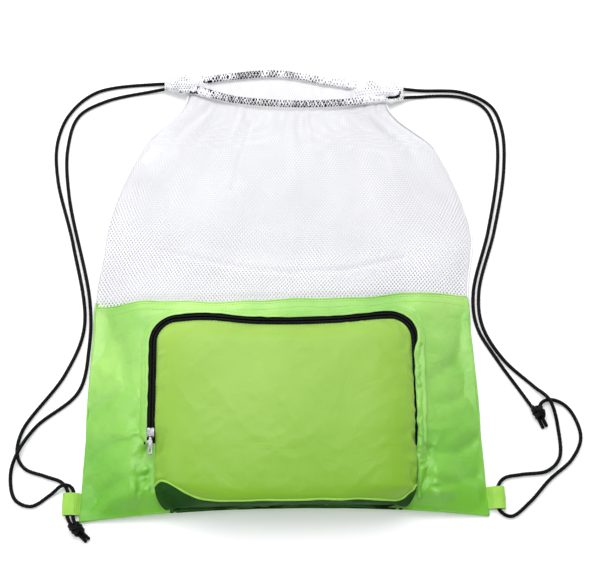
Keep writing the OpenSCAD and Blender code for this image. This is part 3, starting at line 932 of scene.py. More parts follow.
back_cloth = sheet_piece("back_cloth", back_grid(), CLOTH_T, NYLON, "green_nylon", stands_for=["back_panel"])

# %% [markdown]
# ## Seams and stitches
# A seam is where two cloths are turned in and sewn, so it is a thin rounded ridge. A stitch is a short
# piece of thread that dips at both ends. Each row of stitches is one mesh of many small threads, set
# along a line on the cloth. They are real pieces of geometry, because a seam drawn only as a bump would
# vanish on the exported mesh.


# %% Seams and stitches
def ridge(name, line, wide, high, material, slot, seed=1, wobble=0.12):
    turn = np.linspace(0, 2 * np.pi, 12, endpoint=False)
    far = np.arange(len(line))
    size = 1 + wobble * noise(far * 1.0, far * 0.0, 7, seed)[:, None]
    section = np.stack([size * wide / 2 * np.cos(turn), size * high / 2 * np.sin(turn)], -1)
    return piece(name, *swept(line, section, level_frames(line)), material, slot)


def stitch_parts(line, pitch=3.0, length=2.1, radius=0.22):
    """Short threads along a line, each dipping at its ends."""
    stops = even(line, 0.5)
    every, parts = int(round(pitch / 0.5)), []
    half = int(round(length / 0.5 / 2))
    for i in range(half, len(stops) - half, every):
        run = stops[i - half:i + half + 1].copy()
        t = np.linspace(-1, 1, len(run))
        run[:, 2] -= 0.28 * t ** 4
        size = (radius * np.sqrt(1.05 - t ** 4))[:, None, None]
        section = size * circle(6)[None]
        parts.append(swept(run, section, level_frames(run)))
    return parts


def stitches(name, lines, material, slot, body="bag", **sizes):
    return piece(name, *join([p for line in lines for p in stitch_parts(line, **sizes)]), material, slot,
                 body=body)


def on_front(x, y, lift=0.45):
    """A line of points laid on the front panel."""
    x, y = np.broadcast_arrays(np.asarray(x, float), np.asarray(y, float))
    return np.stack([x, y, front_top(x / half_w(y), y) - 0.3 + panel_folds(x, y) + lift], -1)


def side_line(side, low, high):
    y = np.linspace(low, high, 160)
    z = np.full(160, 1.5) + 0.25 * noise(y, 0 * y, 16, 40)
    x = side * (half_w(y) - 0.2) + 0.7 * side * noise(y, 0 * y, 24, 31)
    return np.stack([x, y, z], -1)


for side, word in SIDES:
    ridge(f"side_seam_{word}", side_line(side, -HALF_H + 0.5, WAIST_Y), 2.0, 2.4, NYLON, "green_nylon",
          seed=20 + side)
bottom_u = np.linspace(-1, 1, 260)
bottom_line = np.stack(
    [bottom_u * half_w(seam_y(bottom_u)), seam_y(bottom_u) + 0.2, 1.5 + SEAM_LIFT * seam_bow(bottom_u)], -1
)
bottom_seam = ridge("bottom_seam", bottom_line, 1.8, 2.0, NYLON, "green_nylon", seed=22)
# Painted shade: the bottom seam under the pocket gets the dark nylon, with a ragged end.
bottom_seam.data.materials.append(PAINTED_SHADE_NYLON)
for polygon in bottom_seam.data.polygons:
    ragged = 96 + 4 * math.sin(polygon.center.x * 900)
    polygon.material_index = int(abs(polygon.center.x / MM - POCKET_DX) < ragged)
waist_u = np.linspace(-0.995, 0.995, 420)
waist_line = on_front(waist_u * half_w(waist_edge(waist_u)), waist_edge(waist_u), 0.2)
ridge("waist_fold", waist_line, 1.5, 1.3, NYLON, "green_nylon", seed=23)
stitches(
    "panel_stitches",
    [on_front(waist_u * half_w(waist_edge(waist_u)), waist_edge(waist_u) - gap) for gap in (2.6, 8.4)],
    GREEN_THREAD, "green_nylon", length=2.2,
)

# %% [markdown]
# ## The net
# White knitted net makes the upper half. It could be a plain sheet with a holed texture, but the holes
# would be gone from the exported mesh and from every shadow. So each hole is cut: the sheet is a lattice
# of diamonds, each diamond a ring of four faces round its hole, and the whole is given a thickness. The
# lattice is laid out flat and then carried onto the bag. Where the cord gathers the net from 336 mm to
# 190 mm, the spare width stands up in pleats that run out as the net widens.


# %% A net, laid out flat and carried onto a surface
def net_mesh(wide, tall, cell, place, open_share, thickness):
    """wide and tall in mm; cell is a hole's two diagonals; place(p, q) gives points, p across, q along."""
    cols, rows = 2 * int(round(wide / cell[0])), 2 * int(round(tall / cell[1]))
    dx, dy = wide / cols, tall / rows
    i, j = np.meshgrid(np.arange(cols + 1), np.arange(rows + 1), indexing="ij")
    knot = (i + j) % 2 == 0
    number = np.cumsum(knot.ravel()).reshape(knot.shape) - 1
    hole = (~knot) & (i > 0) & (i < cols) & (j > 0) & (j < rows)
    ci, cj = i[hole], j[hole]
    corners = [(ci - 1, cj), (ci, cj + 1), (ci + 1, cj), (ci, cj - 1)]
    outer = np.stack([number[a, b] for a, b in corners], 1)
    share = open_share(ci * dx - wide / 2, cj * dy)[:, None] if callable(open_share) else open_share
    inner_p = np.stack([(ci + (a - ci) * np.ravel(share)) * dx - wide / 2 for a, b in corners], 1)
    inner_q = np.stack([(cj + (b - cj) * np.ravel(share)) * dy for a, b in corners], 1)
    p = np.concatenate([i[knot] * dx - wide / 2, inner_p.ravel()])
    q = np.concatenate([j[knot] * dy, inner_q.ravel()])
    inner = int(knot.sum()) + np.arange(len(ci) * 4).reshape(-1, 4)
    faces = np.concatenate([
        np.stack([outer[:, k], inner[:, k], inner[:, (k + 1) % 4], outer[:, (k + 1) % 4]], 1)
        for k in range(4)
    ])
    used = np.zeros(len(p), bool)
    used[faces.ravel()] = True
    remap = np.cumsum(used) - 1
    p, q, faces = p[used], q[used], remap[faces]
    points, e = place(p, q), 0.2
    normal = np.cross(place(p + e, q) - place(p - e, q), place(p, q + e) - place(p, q - e))
    normal /= np.maximum(np.linalg.norm(normal, axis=1, keepdims=True), 1e-9)
    a, b = points[faces[:, 1]] - points[faces[:, 0]], points[faces[:, 2]] - points[faces[:, 0]]
    if (np.cross(a, b) * normal[faces[:, 0]]).sum() < 0:
        faces = faces[:, ::-1]
    return thicken(points, faces, normal, thickness)


# %% The bag's upper half, from the waist to a casing
FRONT_LINE, BACK_LINE = smooth(FRONT_CASING, 1.0), smooth(BACK_CASING, 1.0)
NET_W, FRONT_TALL, BACK_TALL, OVERLAP = 336, 202, 222, 8
NET_CELL, NET_OPEN, YARN_T = (3.2, 4.3), 0.62, 0.45


def casing_foot(line, u):
    x = mix(line[0, 0], line[-1, 0], (np.clip(u, -1, 1) + 1) / 2)
    return x, np.interp(x, line[:, 0], line[:, 1]) - CASING_W / 2 - 0.6, np.interp(x, line[:, 0], line[:, 2])


def net_xy(line, u, v):
    x, foot, _ = casing_foot(line, u)
    y = mix(WAIST_Y - OVERLAP, foot, v)
    lean = MESH_LEAN * ease((y - WAIST_Y) / 60)
    shoulder = WAIST_W / 2 + 1 - 0.021 * np.maximum(y - 40, 0) ** 1.6
    return mix(lean + u * shoulder, x, ease((v - 0.75) / 0.25)), y


def pleats(u, v, seed):
    """Pleats from 0 to 1: fine ones at the casing that run together into a few broad ones below."""
    drift = 0.05 * noise(u * 100, v * 60, 22, seed)
    fine = 0.5 + 0.5 * np.sin(2 * np.pi * 10 * (u + drift) + 2.6 * noise(u * 100, v * 10, 11, seed + 1))
    mid = 0.5 + 0.5 * np.sin(2 * np.pi * 6.2 * (u + 1.4 * drift) + 0.7)
    broad = 0.5 + 0.5 * noise(u * 100 + 20 * v, v * 12, 21, seed + 2)
    return (
        2.3 * fine * (0.55 + 0.45 * noise(u * 100, v * 20, 17, seed + 3)) * ease((v - 0.8) / 0.2)
        + 3.0 * mid * (0.6 + 0.4 * noise(u * 100, v * 20, 23, seed + 4)) * ease((v - 0.5) / 0.4)
        * (1 - 0.8 * ease((v - 0.88) / 0.12))
        + 3.0 * broad * ease((v - 0.2) / 0.4) * (1 - ease((v - 0.8) / 0.2))
    )


NET_CREASES = [
    ([(-112, 34), (-70, 22), (-25, 12), (10, 8), (60, 10), (110, 22)], 1.5, 2.2),
    ([(-26, 160), (-38, 120), (-45, 92)], 2.2, 2.6),
    ([(24, 158), (25, 138), (28, 118)], 1.8, 2.6),
    ([(66, 168), (92, 150), (112, 122), (128, 86)], 2.2, 4.0),
    ([(-58, 182), (-88, 160), (-112, 122)], 2.0, 4.5),
]


def front_net(p, q):
    u, v = p / (NET_W / 2), q / FRONT_TALL
    x, y = net_xy(FRONT_LINE, u, v)
    foot = casing_foot(FRONT_LINE, u)[2]
    across = mix(side_slope(u), 1 - np.minimum(np.abs(u), 1) ** 2.6, ease(v / 0.4))
    tall = mix(fill_at(np.maximum(y, WAIST_Y)), MESH_H, ease(v / 0.3)) - SEAM_TOP
    z = mix(SEAM_TOP + tall * across, foot, ease((v - 0.7) / 0.3)) - 0.9
    folds = pleats(u, v, 50) - 1.2 * ease((v - 0.3) / 0.5) + 0.9 * noise(x, y, 30, 51)
    folds = folds + sum(valley(x, y, *c) for c in NET_CREASES)
    edge = ease((1 - np.abs(u)) / 0.07)
    tucked = 1.1 * (1 - ease((y - WAIST_Y + 1.5) / 4))
    return np.stack([x, y, np.maximum(z + folds * edge * ease(v / 0.12), 1.5 + 0 * z) - tucked], -1)


def back_net(p, q):
    u, v = p / (NET_W / 2), q / BACK_TALL
    x, y = net_xy(BACK_LINE, u, v)
    foot = casing_foot(BACK_LINE, u)[2]
    z = mix(0, foot - 1.6, ease((v - 0.75) / 0.25)) + 0.5
    edge = ease((1 - np.abs(u)) / 0.07)
    return np.stack([x, y, z + (0.75 * pleats(u, v, 60) + 0.3) * edge], -1)


net_front = piece(
    "net_front", *net_mesh(NET_W, FRONT_TALL, NET_CELL, front_net, NET_OPEN, YARN_T),
    NET_YARN, "white_mesh", stands_for=["mesh_front"],
)
net_back = piece(
    "net_back", *net_mesh(NET_W, BACK_TALL, NET_CELL, back_net, NET_OPEN, YARN_T),
    NET_YARN, "white_mesh", stands_for=["mesh_back"],
)

# %% [markdown]
# ## Casings, frill and net seams
# Each mouth edge is a net tube that the cords run in. The net is gathered so tightly there that its holes
# turn into short slits, and the black cords show through them as rows of dots. Where the cloth bunches
# up, the slits close. Above the back casing the net's raw edge stands up as a small frill.


# %% A casing: the net carried round a tube
CASING_ROUND = 22


def casing_place(line, seed):
    far = travelled(line)

    def place(p, q):
        at = points_at(line, far, (p / NET_W + 0.5) * far[-1])
        turn = -math.pi / 2 - 0.5 + 2 * math.pi * q / CASING_ROUND
        bunch = 0.5 + 0.5 * np.sin(p / NET_W * 2 * np.pi * 24 + 2 * noise(p, 0 * p, 30, seed))
        swell = 1 + 0.17 * bunch + 0.2 * noise(p, q, 7, seed + 1)
        return at + np.stack([
            0.35 * noise(p, q, 4, seed + 2),
            4.05 * swell * np.cos(turn),
            2.15 * (swell + 0.1) * np.sin(turn),
        ], 1)

    return place


FRONT_OPEN = (
    [-170, -135, -118, -60, 20, 95, 118, 140, 170],
    [0.5, 0.45, 0.78, 0.82, 0.8, 0.82, 0.6, 0.35, 0.4],
)
BACK_OPEN = (
    [-170, -150, -132, -118, -98, -80, -50, -38, -25, -8, 10, 30, 50, 90, 120, 145, 170],
    [0.85, 0.8, 0.4, 0.8, 0.5, 0.86, 0.86, 0.45, 0.8, 0.4, 0.74, 0.45, 0.66, 0.35, 0.3, 0.62, 0.7],
)


def make_casing(word, line, slits, seed):
    def open_share(p, q):
        uneven = 0.16 * noise(p, q, 6, seed + 5) + 0.08 * noise(p, q, 22, seed + 6)
        return np.clip(np.interp(p, *slits) + uneven, 0.15, 0.88)

    tube = casing_place(line, seed)

    def pushed_about(p, q):
        free = np.sin(np.pi * np.clip(q / CASING_ROUND, 0, 1))
        return tube(p + 1.5 * free * noise(p, q, 4.5, seed + 7), q + 1.3 * free * noise(p, q, 4.5, seed + 8))

    net = net_mesh(NET_W, CASING_ROUND, (5.0, 5.0), pushed_about, open_share, 0.3)
    return piece(f"casing_{word}", *net, NET_YARN, "white_mesh", stands_for=[f"hem_{word}"])


casing_front = make_casing("front", FRONT_LINE, FRONT_OPEN, 70)
casing_back = make_casing("back", BACK_LINE, BACK_OPEN, 80)


# %% Bunched net over the ends of the mouth, and the frill
FRILL_TALL = 10


def frill_place(line, lift):
    far = travelled(line)

    def place(p, q):
        at = points_at(line, far, (p / NET_W + 0.5) * far[-1])
        t = q / FRILL_TALL
        wave = np.sin(p / NET_W * 2 * np.pi * 21 + 2.2 * noise(p, 0 * p, 26, 90))
        height = lift(at[:, 0]) * (1 + 0.12 * noise(p, 0 * p, 18, 91))
        return at + np.stack([
            0.7 * wave * t + 0.3 * noise(p, q, 5, 92),
            3.2 + t * height,
            1.0 + 0.6 * t + (0.4 + 0.7 * t) * wave,
        ], 1)

    return place


def frill_height(x):
    swells = [(8.2, 57, 21), (2.6, 10, 24), (2.0, -82, 10)]
    return 2.6 + sum(tall * np.exp(-(((x - at) / wide) ** 2)) for tall, at, wide in swells)


frill = piece(
    "mouth_frill",
    *net_mesh(NET_W, FRILL_TALL, (3.7, 3.4), frill_place(BACK_LINE, frill_height), 0.6, 0.4),
    NET_YARN, "white_mesh",
)

BUNCH_LONG, BUNCH_ROUND = 60, 26
bunch_open = lambda p, q: np.clip(0.36 + 0.3 * noise(p, q, 8, 97), 0.15, 0.75)
for side, word in SIDES:
    bunch_line = smooth(
        [[-109, 202.5, 6.0], [-98, 202, 8.2], [-84, 202, 8.0], [-64, 200.5, 1.5]] if side < 0 else
        [[66, 192, 1.2], [86, 190.5, 8.2], [100, 190.5, 7.8], [118, 190.5, 5.2]], 1.0,
    )

    def bunch_place(p, q, line=bunch_line, side=side):
        s = (p / BUNCH_LONG + 0.5) * (len(line) - 1)
        at = points_at(line, np.arange(len(line)), s)
        turn = -0.35 + (math.pi + 0.7) * q / BUNCH_ROUND
        fat = 1 + 0.10 * np.sin(turn * 7 + 3 * noise(p, q, 9, 95)) + 0.16 * noise(p, q, 5, 96)
        out = side * (2 * s / (len(line) - 1) - 1)
        wide = np.interp(out, [-1, -0.4, 0.2, 0.6, 0.9, 1], [9.6, 10.2, 9.6, 8.2, 6.0, 4.6])
        wide = (1.1 + 0.1 * side) * wide
        high = np.interp(out, [-1, -0.5, 0.0, 0.6, 1], [0.6, 3.2, 5.2, 4.6, 3.2])
        return at + np.stack([0 * p, wide * fat * np.cos(turn), high * fat * np.sin(turn)], 1)

    piece(
        f"bunched_net_{word}",
        *net_mesh(BUNCH_LONG, BUNCH_ROUND, (3.2, 3.25), bunch_place, bunch_open, 0.4), NET_YARN, "white_mesh",
    )

# %% Seams down the sides of the net, and the stitches under each casing
for side, word in SIDES:
    v = np.linspace(0, 1, 240)
    seam = (front_net(np.full(240, side * NET_W / 2), v * FRONT_TALL)
            + back_net(np.full(240, side * NET_W / 2), v * BACK_TALL)) / 2
    seam[:, 2] = np.maximum(seam[:, 2], 1.3)
    ridge(f"net_seam_{word}", seam, 2.2, 2.2, NET_YARN, "white_mesh", seed=30 + side, wobble=0.25)
for word, line in (("front", FRONT_LINE), ("back", BACK_LINE)):
    under = line[4:-4] + [0, -4.7, 0.7]
    stitches(f"casing_stitches_{word}", [under], WHITE_THREAD, "white_mesh", pitch=3.0, length=2.2,
             radius=0.28)

# %% [markdown]
# ## The pocket's face
# The pocket's face is one cloth: its lower part is sewn down all round and its upper part is freed by
# the zip, so one mesh stands for both. It is a loft: rows from the bottom seam, up the bottom wall, over
# the face and down to the zip, each crowned from side to side. Then it is crumpled: puckers along the sewn
# edges, wide soft dents over the middle.


# %% Loft the face
FLAP_HALF, FLAP_R, FLAP_TOP = 111.0, 17.7, -42.0
FACE_ROWS = [
    [-203.4, 98, 16.4], [-204.6, 100, 26], [-204.6, 102.5, 36], [-201.6, 106, 41.6], [-195, 109.5, 44.4],
    [-184, 111, 45.5], [-165, 111, 46], [-145, FLAP_HALF, 46], [-125, FLAP_HALF, 45.2],
    [-105, FLAP_HALF, 44.4], [-87, FLAP_HALF, 43.8], [-73, FLAP_HALF, 43.2],
    *[[FLAP_TOP - FLAP_R * (1 - math.sin(a)), FLAP_HALF - FLAP_R * (1 - math.cos(a)), 42.6 - 0.6 * a]
      for a in np.radians(np.arange(0, 91, 10))],
]
FACE_COLS = 240


def face_grid():
    rows = smooth(FACE_ROWS, 1.15)
    y0, w, tall = rows[:, :1], rows[:, 1:2], rows[:, 2:]
    s = np.linspace(-1, 1, FACE_COLS)[None]
    u = s * (1.45 - 0.45 * s ** 2)
    x = POCKET_DX + u * w
    y = y0 + sag(x, y0)
    sewn = front_top(x / half_w(y0), y0) + 0.35
    edge = mix(sewn, ZIP_Z + 0.75, ease((y0 + 151) / 9))
    rise = 1 - np.clip((y0 - FLAP_TOP + 24) / 24, 0, 1) ** 2.4
    crown = 1 - np.abs(u) ** mix(5.0, 7.5, ease((y0 + 204) / 12))
    z = mix(edge, np.maximum(tall, edge), crown * rise)
    drawn_back = 7 * ease((-0.5 - u) / 0.5) + 3 * ease((u - 0.84) / 0.16)
    y = y + drawn_back * ease((tall - 18) / 22) * ease((-150 - y0) / 42) * ease((z - 20) / 14)
    bulge = 4 * crown * (1 - crown) * rise
    quiet = 1 - ease(1 - np.abs(y0 + 150) / 26)
    out = np.where(u > 0, 3.4 * ease((-54 - y0) / 16), 0.2 + 1.5 * quiet * ease((-70 - y0) / 30))
    x = x + np.sign(u) * bulge * (out + 0.8 * noise(y0, 0 * y0, 8, 112) * ease((-60 - y0) / 20))
    grid = np.stack([x, np.broadcast_to(y, x.shape), z], -1)
    return grid, u, np.broadcast_to(y0, x.shape)


def face_folds(grid, u, y0):
    x, y = grid[..., 0], grid[..., 1]
    to_side = (1 - np.abs(u)) * 111
    to_top = FLAP_TOP - y0
    wall = ease((y0 + 203) / 9)
    along_side = np.exp(-((to_side - 5) / 8) ** 2)
    along_top = np.exp(-((to_top - 5) / 9) ** 2)
    lower = ease((-138 - y0) / 25)
    pinned = ease(to_side / 2.5) * ease(to_top / 2.5)
    puckers = (
        0.75 * along_side * creases(y, x, 7.5, 6, 1.3, 101) * mix(0.7, 1.6, lower)
        + 0.75 * along_top * creases(y, x, 8.5, 90, 1.5, 102)
        + 0.9 * np.exp(-((to_side - 7) / 7) ** 2) * creases(x, y, 12, 24, 1.2, 103) * lower
    )
    soft = (
        1.0 * noise(x, y, 64, 104) + 0.55 * noise(x, y, 30, 105)
        + 0.55 * creases(x, y, 44, 30, 2.4, 106) + 0.3 * creases(x, y, 24, -50, 2.0, 107)
    )
    small = 0.16 * creases(x, y, 12, 40, 1.6, 108) + 0.12 * noise(x, y, 6, 109)
    walls = 0.7 * noise(x, 2.0 * grid[..., 2], 16, 110) * (1 - wall)
    return pinned * (puckers + wall * (soft + small) + walls)


face_plain, face_u, face_y0 = face_grid()
face = face_plain + grid_normals(face_plain) * face_folds(face_plain, face_u, face_y0)[..., None]
pocket_face = sheet_piece(
    "pocket_face", face, CLOTH_T, FACE_NYLON, "green_nylon", body=None,
    stands_for=["pocket_flap", "pocket_pouch"],
)
LIP_ROW = int(np.argmin(np.abs(face[:60, FACE_COLS // 2, 2] - 40.5)))


def face_row(y):
    return float(np.interp(y, face_y0[:, 0][LIP_ROW:], np.arange(LIP_ROW, face.shape[0])))


def lip_row_at(u):
    """The row that the lip runs along: it climbs at both bottom corners, further at the left."""
    left = (face_row(-188) - LIP_ROW) * ease((-0.6 - u) / 0.4) ** 1.2
    right = (face_row(-190) - LIP_ROW) * ease((u - 0.82) / 0.18) ** 1.5
    return LIP_ROW + left + right


# Painted shade: the face's rows below its lip, the bottom wall, get the dark nylon.
lip_at = lip_row_at((face_u[0, 1:] + face_u[0, :-1]) / 2)
painted_shade_below_lip = np.arange(face.shape[0] - 1)[:, None] < lip_at[None] - 0.5
shade(pocket_face, painted_shade_below_lip)
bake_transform(pocket_face)
face_area = float(sum(p.area for p in pocket_face.data.polygons)) / 2
print("face:", face.shape, "area", round(face_area, 4), "m2")


# %% Lines laid on the face, for its lip and its stitches
def on_face(rows, cols, lift):
    """Points of the face at fractional rows and columns, raised along its normal."""
    normals = grid_normals(face)
    points = face + normals * lift
    r, c = np.clip(rows, 0, face.shape[0] - 1.001), np.clip(cols, 0, FACE_COLS - 1.001)
    i, j = r.astype(int), c.astype(int)
    fr, fc = (r - i)[:, None], (c - j)[:, None]
    return mix(mix(points[i, j], points[i, j + 1], fc), mix(points[i + 1, j], points[i + 1, j + 1], fc), fr)


FACE_LAST = face.shape[0] - 1
lip_cols = np.linspace(3, FACE_COLS - 4, 420)
lip_rows = lip_row_at(np.interp(lip_cols, np.arange(FACE_COLS), face_u[0]))
lip_line = even(on_face(lip_rows, lip_cols, 0.45), 1.0)
# Painted highlight: the lip gets the paler webbing green, so it shows as a pale line along the pocket's
# bottom edge.
ridge("pocket_lip", relaxed(lip_line, 6), 1.7, 1.8, LOOP_WEBBING, "green_nylon", seed=24, wobble=0.2)
fold_row = face_row(FOLD_Y)


def face_edge(inset_cols, first_row, last_row):
    """A line that runs up the left side, along the top and down the right side, near the edge."""
    up = np.linspace(first_row, last_row - inset_cols, 160)
    left = on_face(up, np.full(160, inset_cols * 1.0), 0.4)
    top_cols = np.linspace(inset_cols, FACE_COLS - 1 - inset_cols, 300)
    across = on_face(np.full(300, last_row - inset_cols), top_cols, 0.4)
    right = on_face(up[::-1], np.full(160, FACE_COLS - 1.0 - inset_cols), 0.4)
    return even(np.concatenate([left, across[1:-1], right]), 0.5)


stitches("flap_stitches", [face_edge(3.2, fold_row + 8, FACE_LAST)], GREEN_THREAD, "green_nylon",
         body="flap", pitch=2.8, length=2.0)

# %% [markdown]
# ## The zip
# A number 3 coil zip: two woven tapes, each with a nylon coil sewn along its edge, so small that every
# turn is its own little loop across the tape. The outer tape belongs to the bag and the inner one to the
# flap. The front panel's edge is turned in and sewn over the outer tape, which leaves a narrow black
# band, and on the right that turned edge has slipped over the zip and crumpled.


# %% Tapes and coils
def tape_section(low, high):
    """A woven tape across the zip, a little thicker where the coil is sewn on."""
    steps = np.linspace(low, high, 9)
    top = 0.05 + 0.12 * np.cos((steps - low) / (high - low) * np.pi) + 0.04 * np.cos(steps * 5)
    return np.concatenate([np.stack([steps, top], 1), np.stack([steps[::-1], np.full(9, -0.35)], 1)])


TAPE_STEP = 0.8
INNER_LINE = zip_line(-136, -144.6, TAPE_STEP)
OUTER_LINE = zip_line(-150, -155, TAPE_STEP)


def tape(name, line, low, high, body, node, drop=0.0):
    section = tape_section(low, high)[None] + np.zeros((len(line), 1, 1))
    ripple = 0.16 * noise(np.arange(len(line)) * 0.8, 0 * line[:, 0], 9, 120)
    far_edge = np.clip((np.abs(section[..., 0]) - 2.4) / 3.2, 0, 1)
    section[..., 1] += far_edge * ripple[:, None] - drop * far_edge ** 1.5
    return piece(name, *swept(line, section, level_frames(line)), ZIP_TAPE, "zip_tape", body=body,
                 stands_for=[node])


tape("tape_outer", OUTER_LINE, -6.0, -0.75, "bag", "zip_tape_outer", drop=2.0)
tape("tape_inner", INNER_LINE, 0.75, 6.0, "flap", "zip_tape_inner")


def coil(name, line, side, shift, body, node):
    """Loops of nylon, one for each turn of the coil."""
    stops = even(line, 1.2)
    right, up = level_frames(stops)
    along = np.cross(up, right)
    turn, rings = np.linspace(0, 2 * np.pi, 10, endpoint=False), np.linspace(-1, 1, 7)
    parts = []
    for i in range(1, len(stops) - 1):
        at = mix(stops[i], stops[min(i + 1, len(stops) - 1)], shift) + right[i] * side * 1.28 + up[i] * 0.25
        body_line = at + right[i] * rings[:, None] * 0.78 + up[i] * (0.12 * (1 - rings[:, None] ** 2))
        size = np.sqrt(1.06 - rings ** 2)[:, None, None]
        section = size * np.stack([0.44 * np.cos(turn), 0.52 * np.sin(turn)], -1)
        frames = (np.broadcast_to(along[i], body_line.shape), np.broadcast_to(up[i], body_line.shape))
        parts.append(swept(body_line, section, frames))
    return piece(name, *join(parts), ZIP_COIL, "zip_coil", body=body, stands_for=[node])


coil("coil_outer", zip_line(-147, -152, TAPE_STEP), -1, 0.5, "bag", "zip_coil_outer")
coil("coil_inner", INNER_LINE, 1, 0.0, "flap", "zip_coil_inner")
guard = zip_line(-149, -154, 1.2, z=ZIP_Z - 2.55)
guard_section = [[-4.4, 0.0], [-4.2, 0.16], [0, 0.22], [4.2, 0.16], [4.4, 0.0], [4.2, -0.12], [-4.2, -0.12]]
piece("zip_guard", *swept(guard, guard_section, level_frames(guard)), ZIP_TAPE, "zip_tape")
stitches("tape_stitches", [zip_line(-135, -144, 0.5, offset=4.2, z=ZIP_Z + 0.28)], BLACK_THREAD, "zip_tape",
         body="flap", pitch=2.4, length=1.7, radius=0.18)


# %% The front panel's turned edge, sewn over the outer tape
def turned_edge(step=0.7):
    line = zip_line(-151, -199, step)
    right, up = level_frames(line)
    n = len(line)
    x, y = line[:, 0], line[:, 1]
    on_right = x > POCKET_DX
    below_zip = ease((-151 - y) / 7) * on_right
    slipped = np.where(on_right, ease((-50 - y) / 28), 0.0)
    loose = np.maximum(slipped, below_zip)
    foot = np.where(on_right, ease((y + 198) / 26), ease((y + 151) / 9))
    far = np.arange(n) * step
    inner = -3.35 + 4.9 * slipped * (1 - below_zip) + 6.2 * below_zip
    inner = inner + (0.28 + 0.3 * loose) * noise(far, 0 * far, 6, 130)
    crest = 1.15 + loose * (1.3 + 0.8 * noise(far, 0 * far, 8, 131)) + 0.15 * noise(far, 0 * far, 9, 132)
    shape = [
        (0.0, 0.95, 0), (0.05, 1.05, 0), (0.13, 1.1, 0.2), (0.26, 1.0, 0.8), (0.42, 0.55, 1.0),
        (0.58, -0.2, 0.9), (0.72, -1.1, 0.6), (0.86, -2.1, 0.3), (1.0, -2.72, 0),
    ]
    wide = (7.2 + 2.6 * loose + 1.0 * loose * noise(far, 0 * far, 14, 136)) * (0.3 + 0.7 * foot)
    steps = np.linspace(0, 1, 26)
    high, rough = (np.interp(steps, [q[0] for q in shape], [q[k] for q in shape]) for k in (1, 2))
    offset = inner[:, None] - steps[None] * wide[:, None]
    rise = np.where(high > 0, high * crest[:, None] / 1.05, high)
    rise = mix(-2.72 + 0 * rise, rise, (0.2 + 0.8 * foot)[:, None])
    gx = x[:, None] + right[:, :1] * offset
    gy = y[:, None] + right[:, 1:2] * offset
    crumple = (
        1.1 * (creases(gx, gy, 8, 25, 1.5, 133) + creases(gx, gy, 6.5, -40, 1.4, 137)) * loose[:, None]
        + 0.35 * noise(gx, gy, 8, 134)
        + 0.3 * creases(gx, gy, 7, 5, 1.2, 135)
    )
    rise = rise + crumple * rough * foot[:, None]
    cloth_z = front_top(np.clip(gx / half_w(gy), -1, 1), gy) - 0.3 + panel_folds(gx, gy) - ZIP_Z
    over_tape = ease((offset + 9.5) / 1.5) * (slipped * (1 - below_zip))[:, None]
    outer_low = mix(cloth_z + 0.45, 1.0, over_tape)
    lowest = np.where(steps[None] > 0.3, outer_low, mix(0.95, cloth_z, below_zip[:, None]))
    sunk = ease((steps[None] - 0.82) / 0.18)
    rise = mix(np.maximum(rise, lowest), cloth_z - 0.05, sunk)
    rise = rise - 1.1 * (1 - ease((foot - 0.02) / 0.35))[:, None]
    return np.stack([gx, gy, ZIP_Z + rise], -1)


edge_grid = turned_edge()
sheet_piece("panel_edge", edge_grid[:, ::-1], 0.4, NYLON, "green_nylon")
sewn_line = edge_grid[:, 9].copy()
sewn_line[:, 2] += 0.35
sewn_line = relaxed(sewn_line, 4)
top_part = sewn_line[(sewn_line[:, 1] > -140) & ~((sewn_line[:, 0] > 0) & (sewn_line[:, 1] < -64))]
stitches("edge_stitches", [top_part], GREEN_THREAD, "green_nylon", pitch=2.8, length=2.0)


# %% [markdown]
# ## Slider, pull and end clips
# The slider is two small plates on a neck, with a bridge that the pull hangs from. They are cast metal
# parts, so each is a drawn outline given a thickness, and every edge is rounded with a bevel.


# %% Metal parts from outlines
def plate(outline, low, high, axis="Z", hole=None, bevel=0.18):
    """A closed solid from an outline, with rounded edges; returns points and faces in millimetres."""
    bm = bmesh.new()
    loops = [outline] + ([hole] if hole is not None else [])
    edges = []
    for loop in loops:
        verts = [bm.verts.new((a, b, low)) for a, b in loop]
        edges += [bm.edges.new((verts[i], verts[(i + 1) % len(verts)])) for i in range(len(verts))]
    bmesh.ops.triangle_fill(bm, use_beauty=True, edges=edges)
    raised = bmesh.ops.extrude_face_region(bm, geom=bm.faces[:])["geom"]
    lifted = [g for g in raised if isinstance(g, bmesh.types.BMVert)]
    bmesh.ops.translate(bm, vec=(0, 0, high - low), verts=lifted)
    bmesh.ops.recalc_face_normals(bm, faces=bm.faces[:])
    rims = [e for e in bm.edges if len(e.link_faces) == 2 and e.calc_face_angle() > 0.6]
    bmesh.ops.bevel(bm, geom=rims, offset=bevel, segments=3, affect="EDGES", profile=0.6)
    bm.verts.index_update()
    points = np.array([v.co[:] for v in bm.verts])
    faces = [[v.index for v in f.verts] for f in bm.faces]
    bm.free()
    if axis == "X":
        points = points[:, [2, 0, 1]]
    return points, faces


def rounded(corners, r=0.8, steps=6):
    """An outline with its corners rounded off."""
    out, n = [], len(corners)
    for i in range(n):
        a, b, c = (np.array(corners[(i + k - 1) % n], float) for k in range(3))
        one = b + (a - b) / np.linalg.norm(a - b) * min(r, np.linalg.norm(a - b) * 0.45)
        two = b + (c - b) / np.linalg.norm(c - b) * min(r, np.linalg.norm(c - b) * 0.45)
        for t in np.linspace(0, 1, steps):
            out.append(tuple((1 - t) ** 2 * one + 2 * t * (1 - t) * b + t ** 2 * two))
    return out


SLIDER_Y = -141.0
SLIDER_AT = np.array([POCKET_DX - ZIP_HALF, SLIDER_Y, ZIP_Z])
PIN_Y, PIN_Z, PULL_LONG = -3.0, 3.8, 15


def moved(part, by):
    return np.asarray(part[0]) + by, part[1]


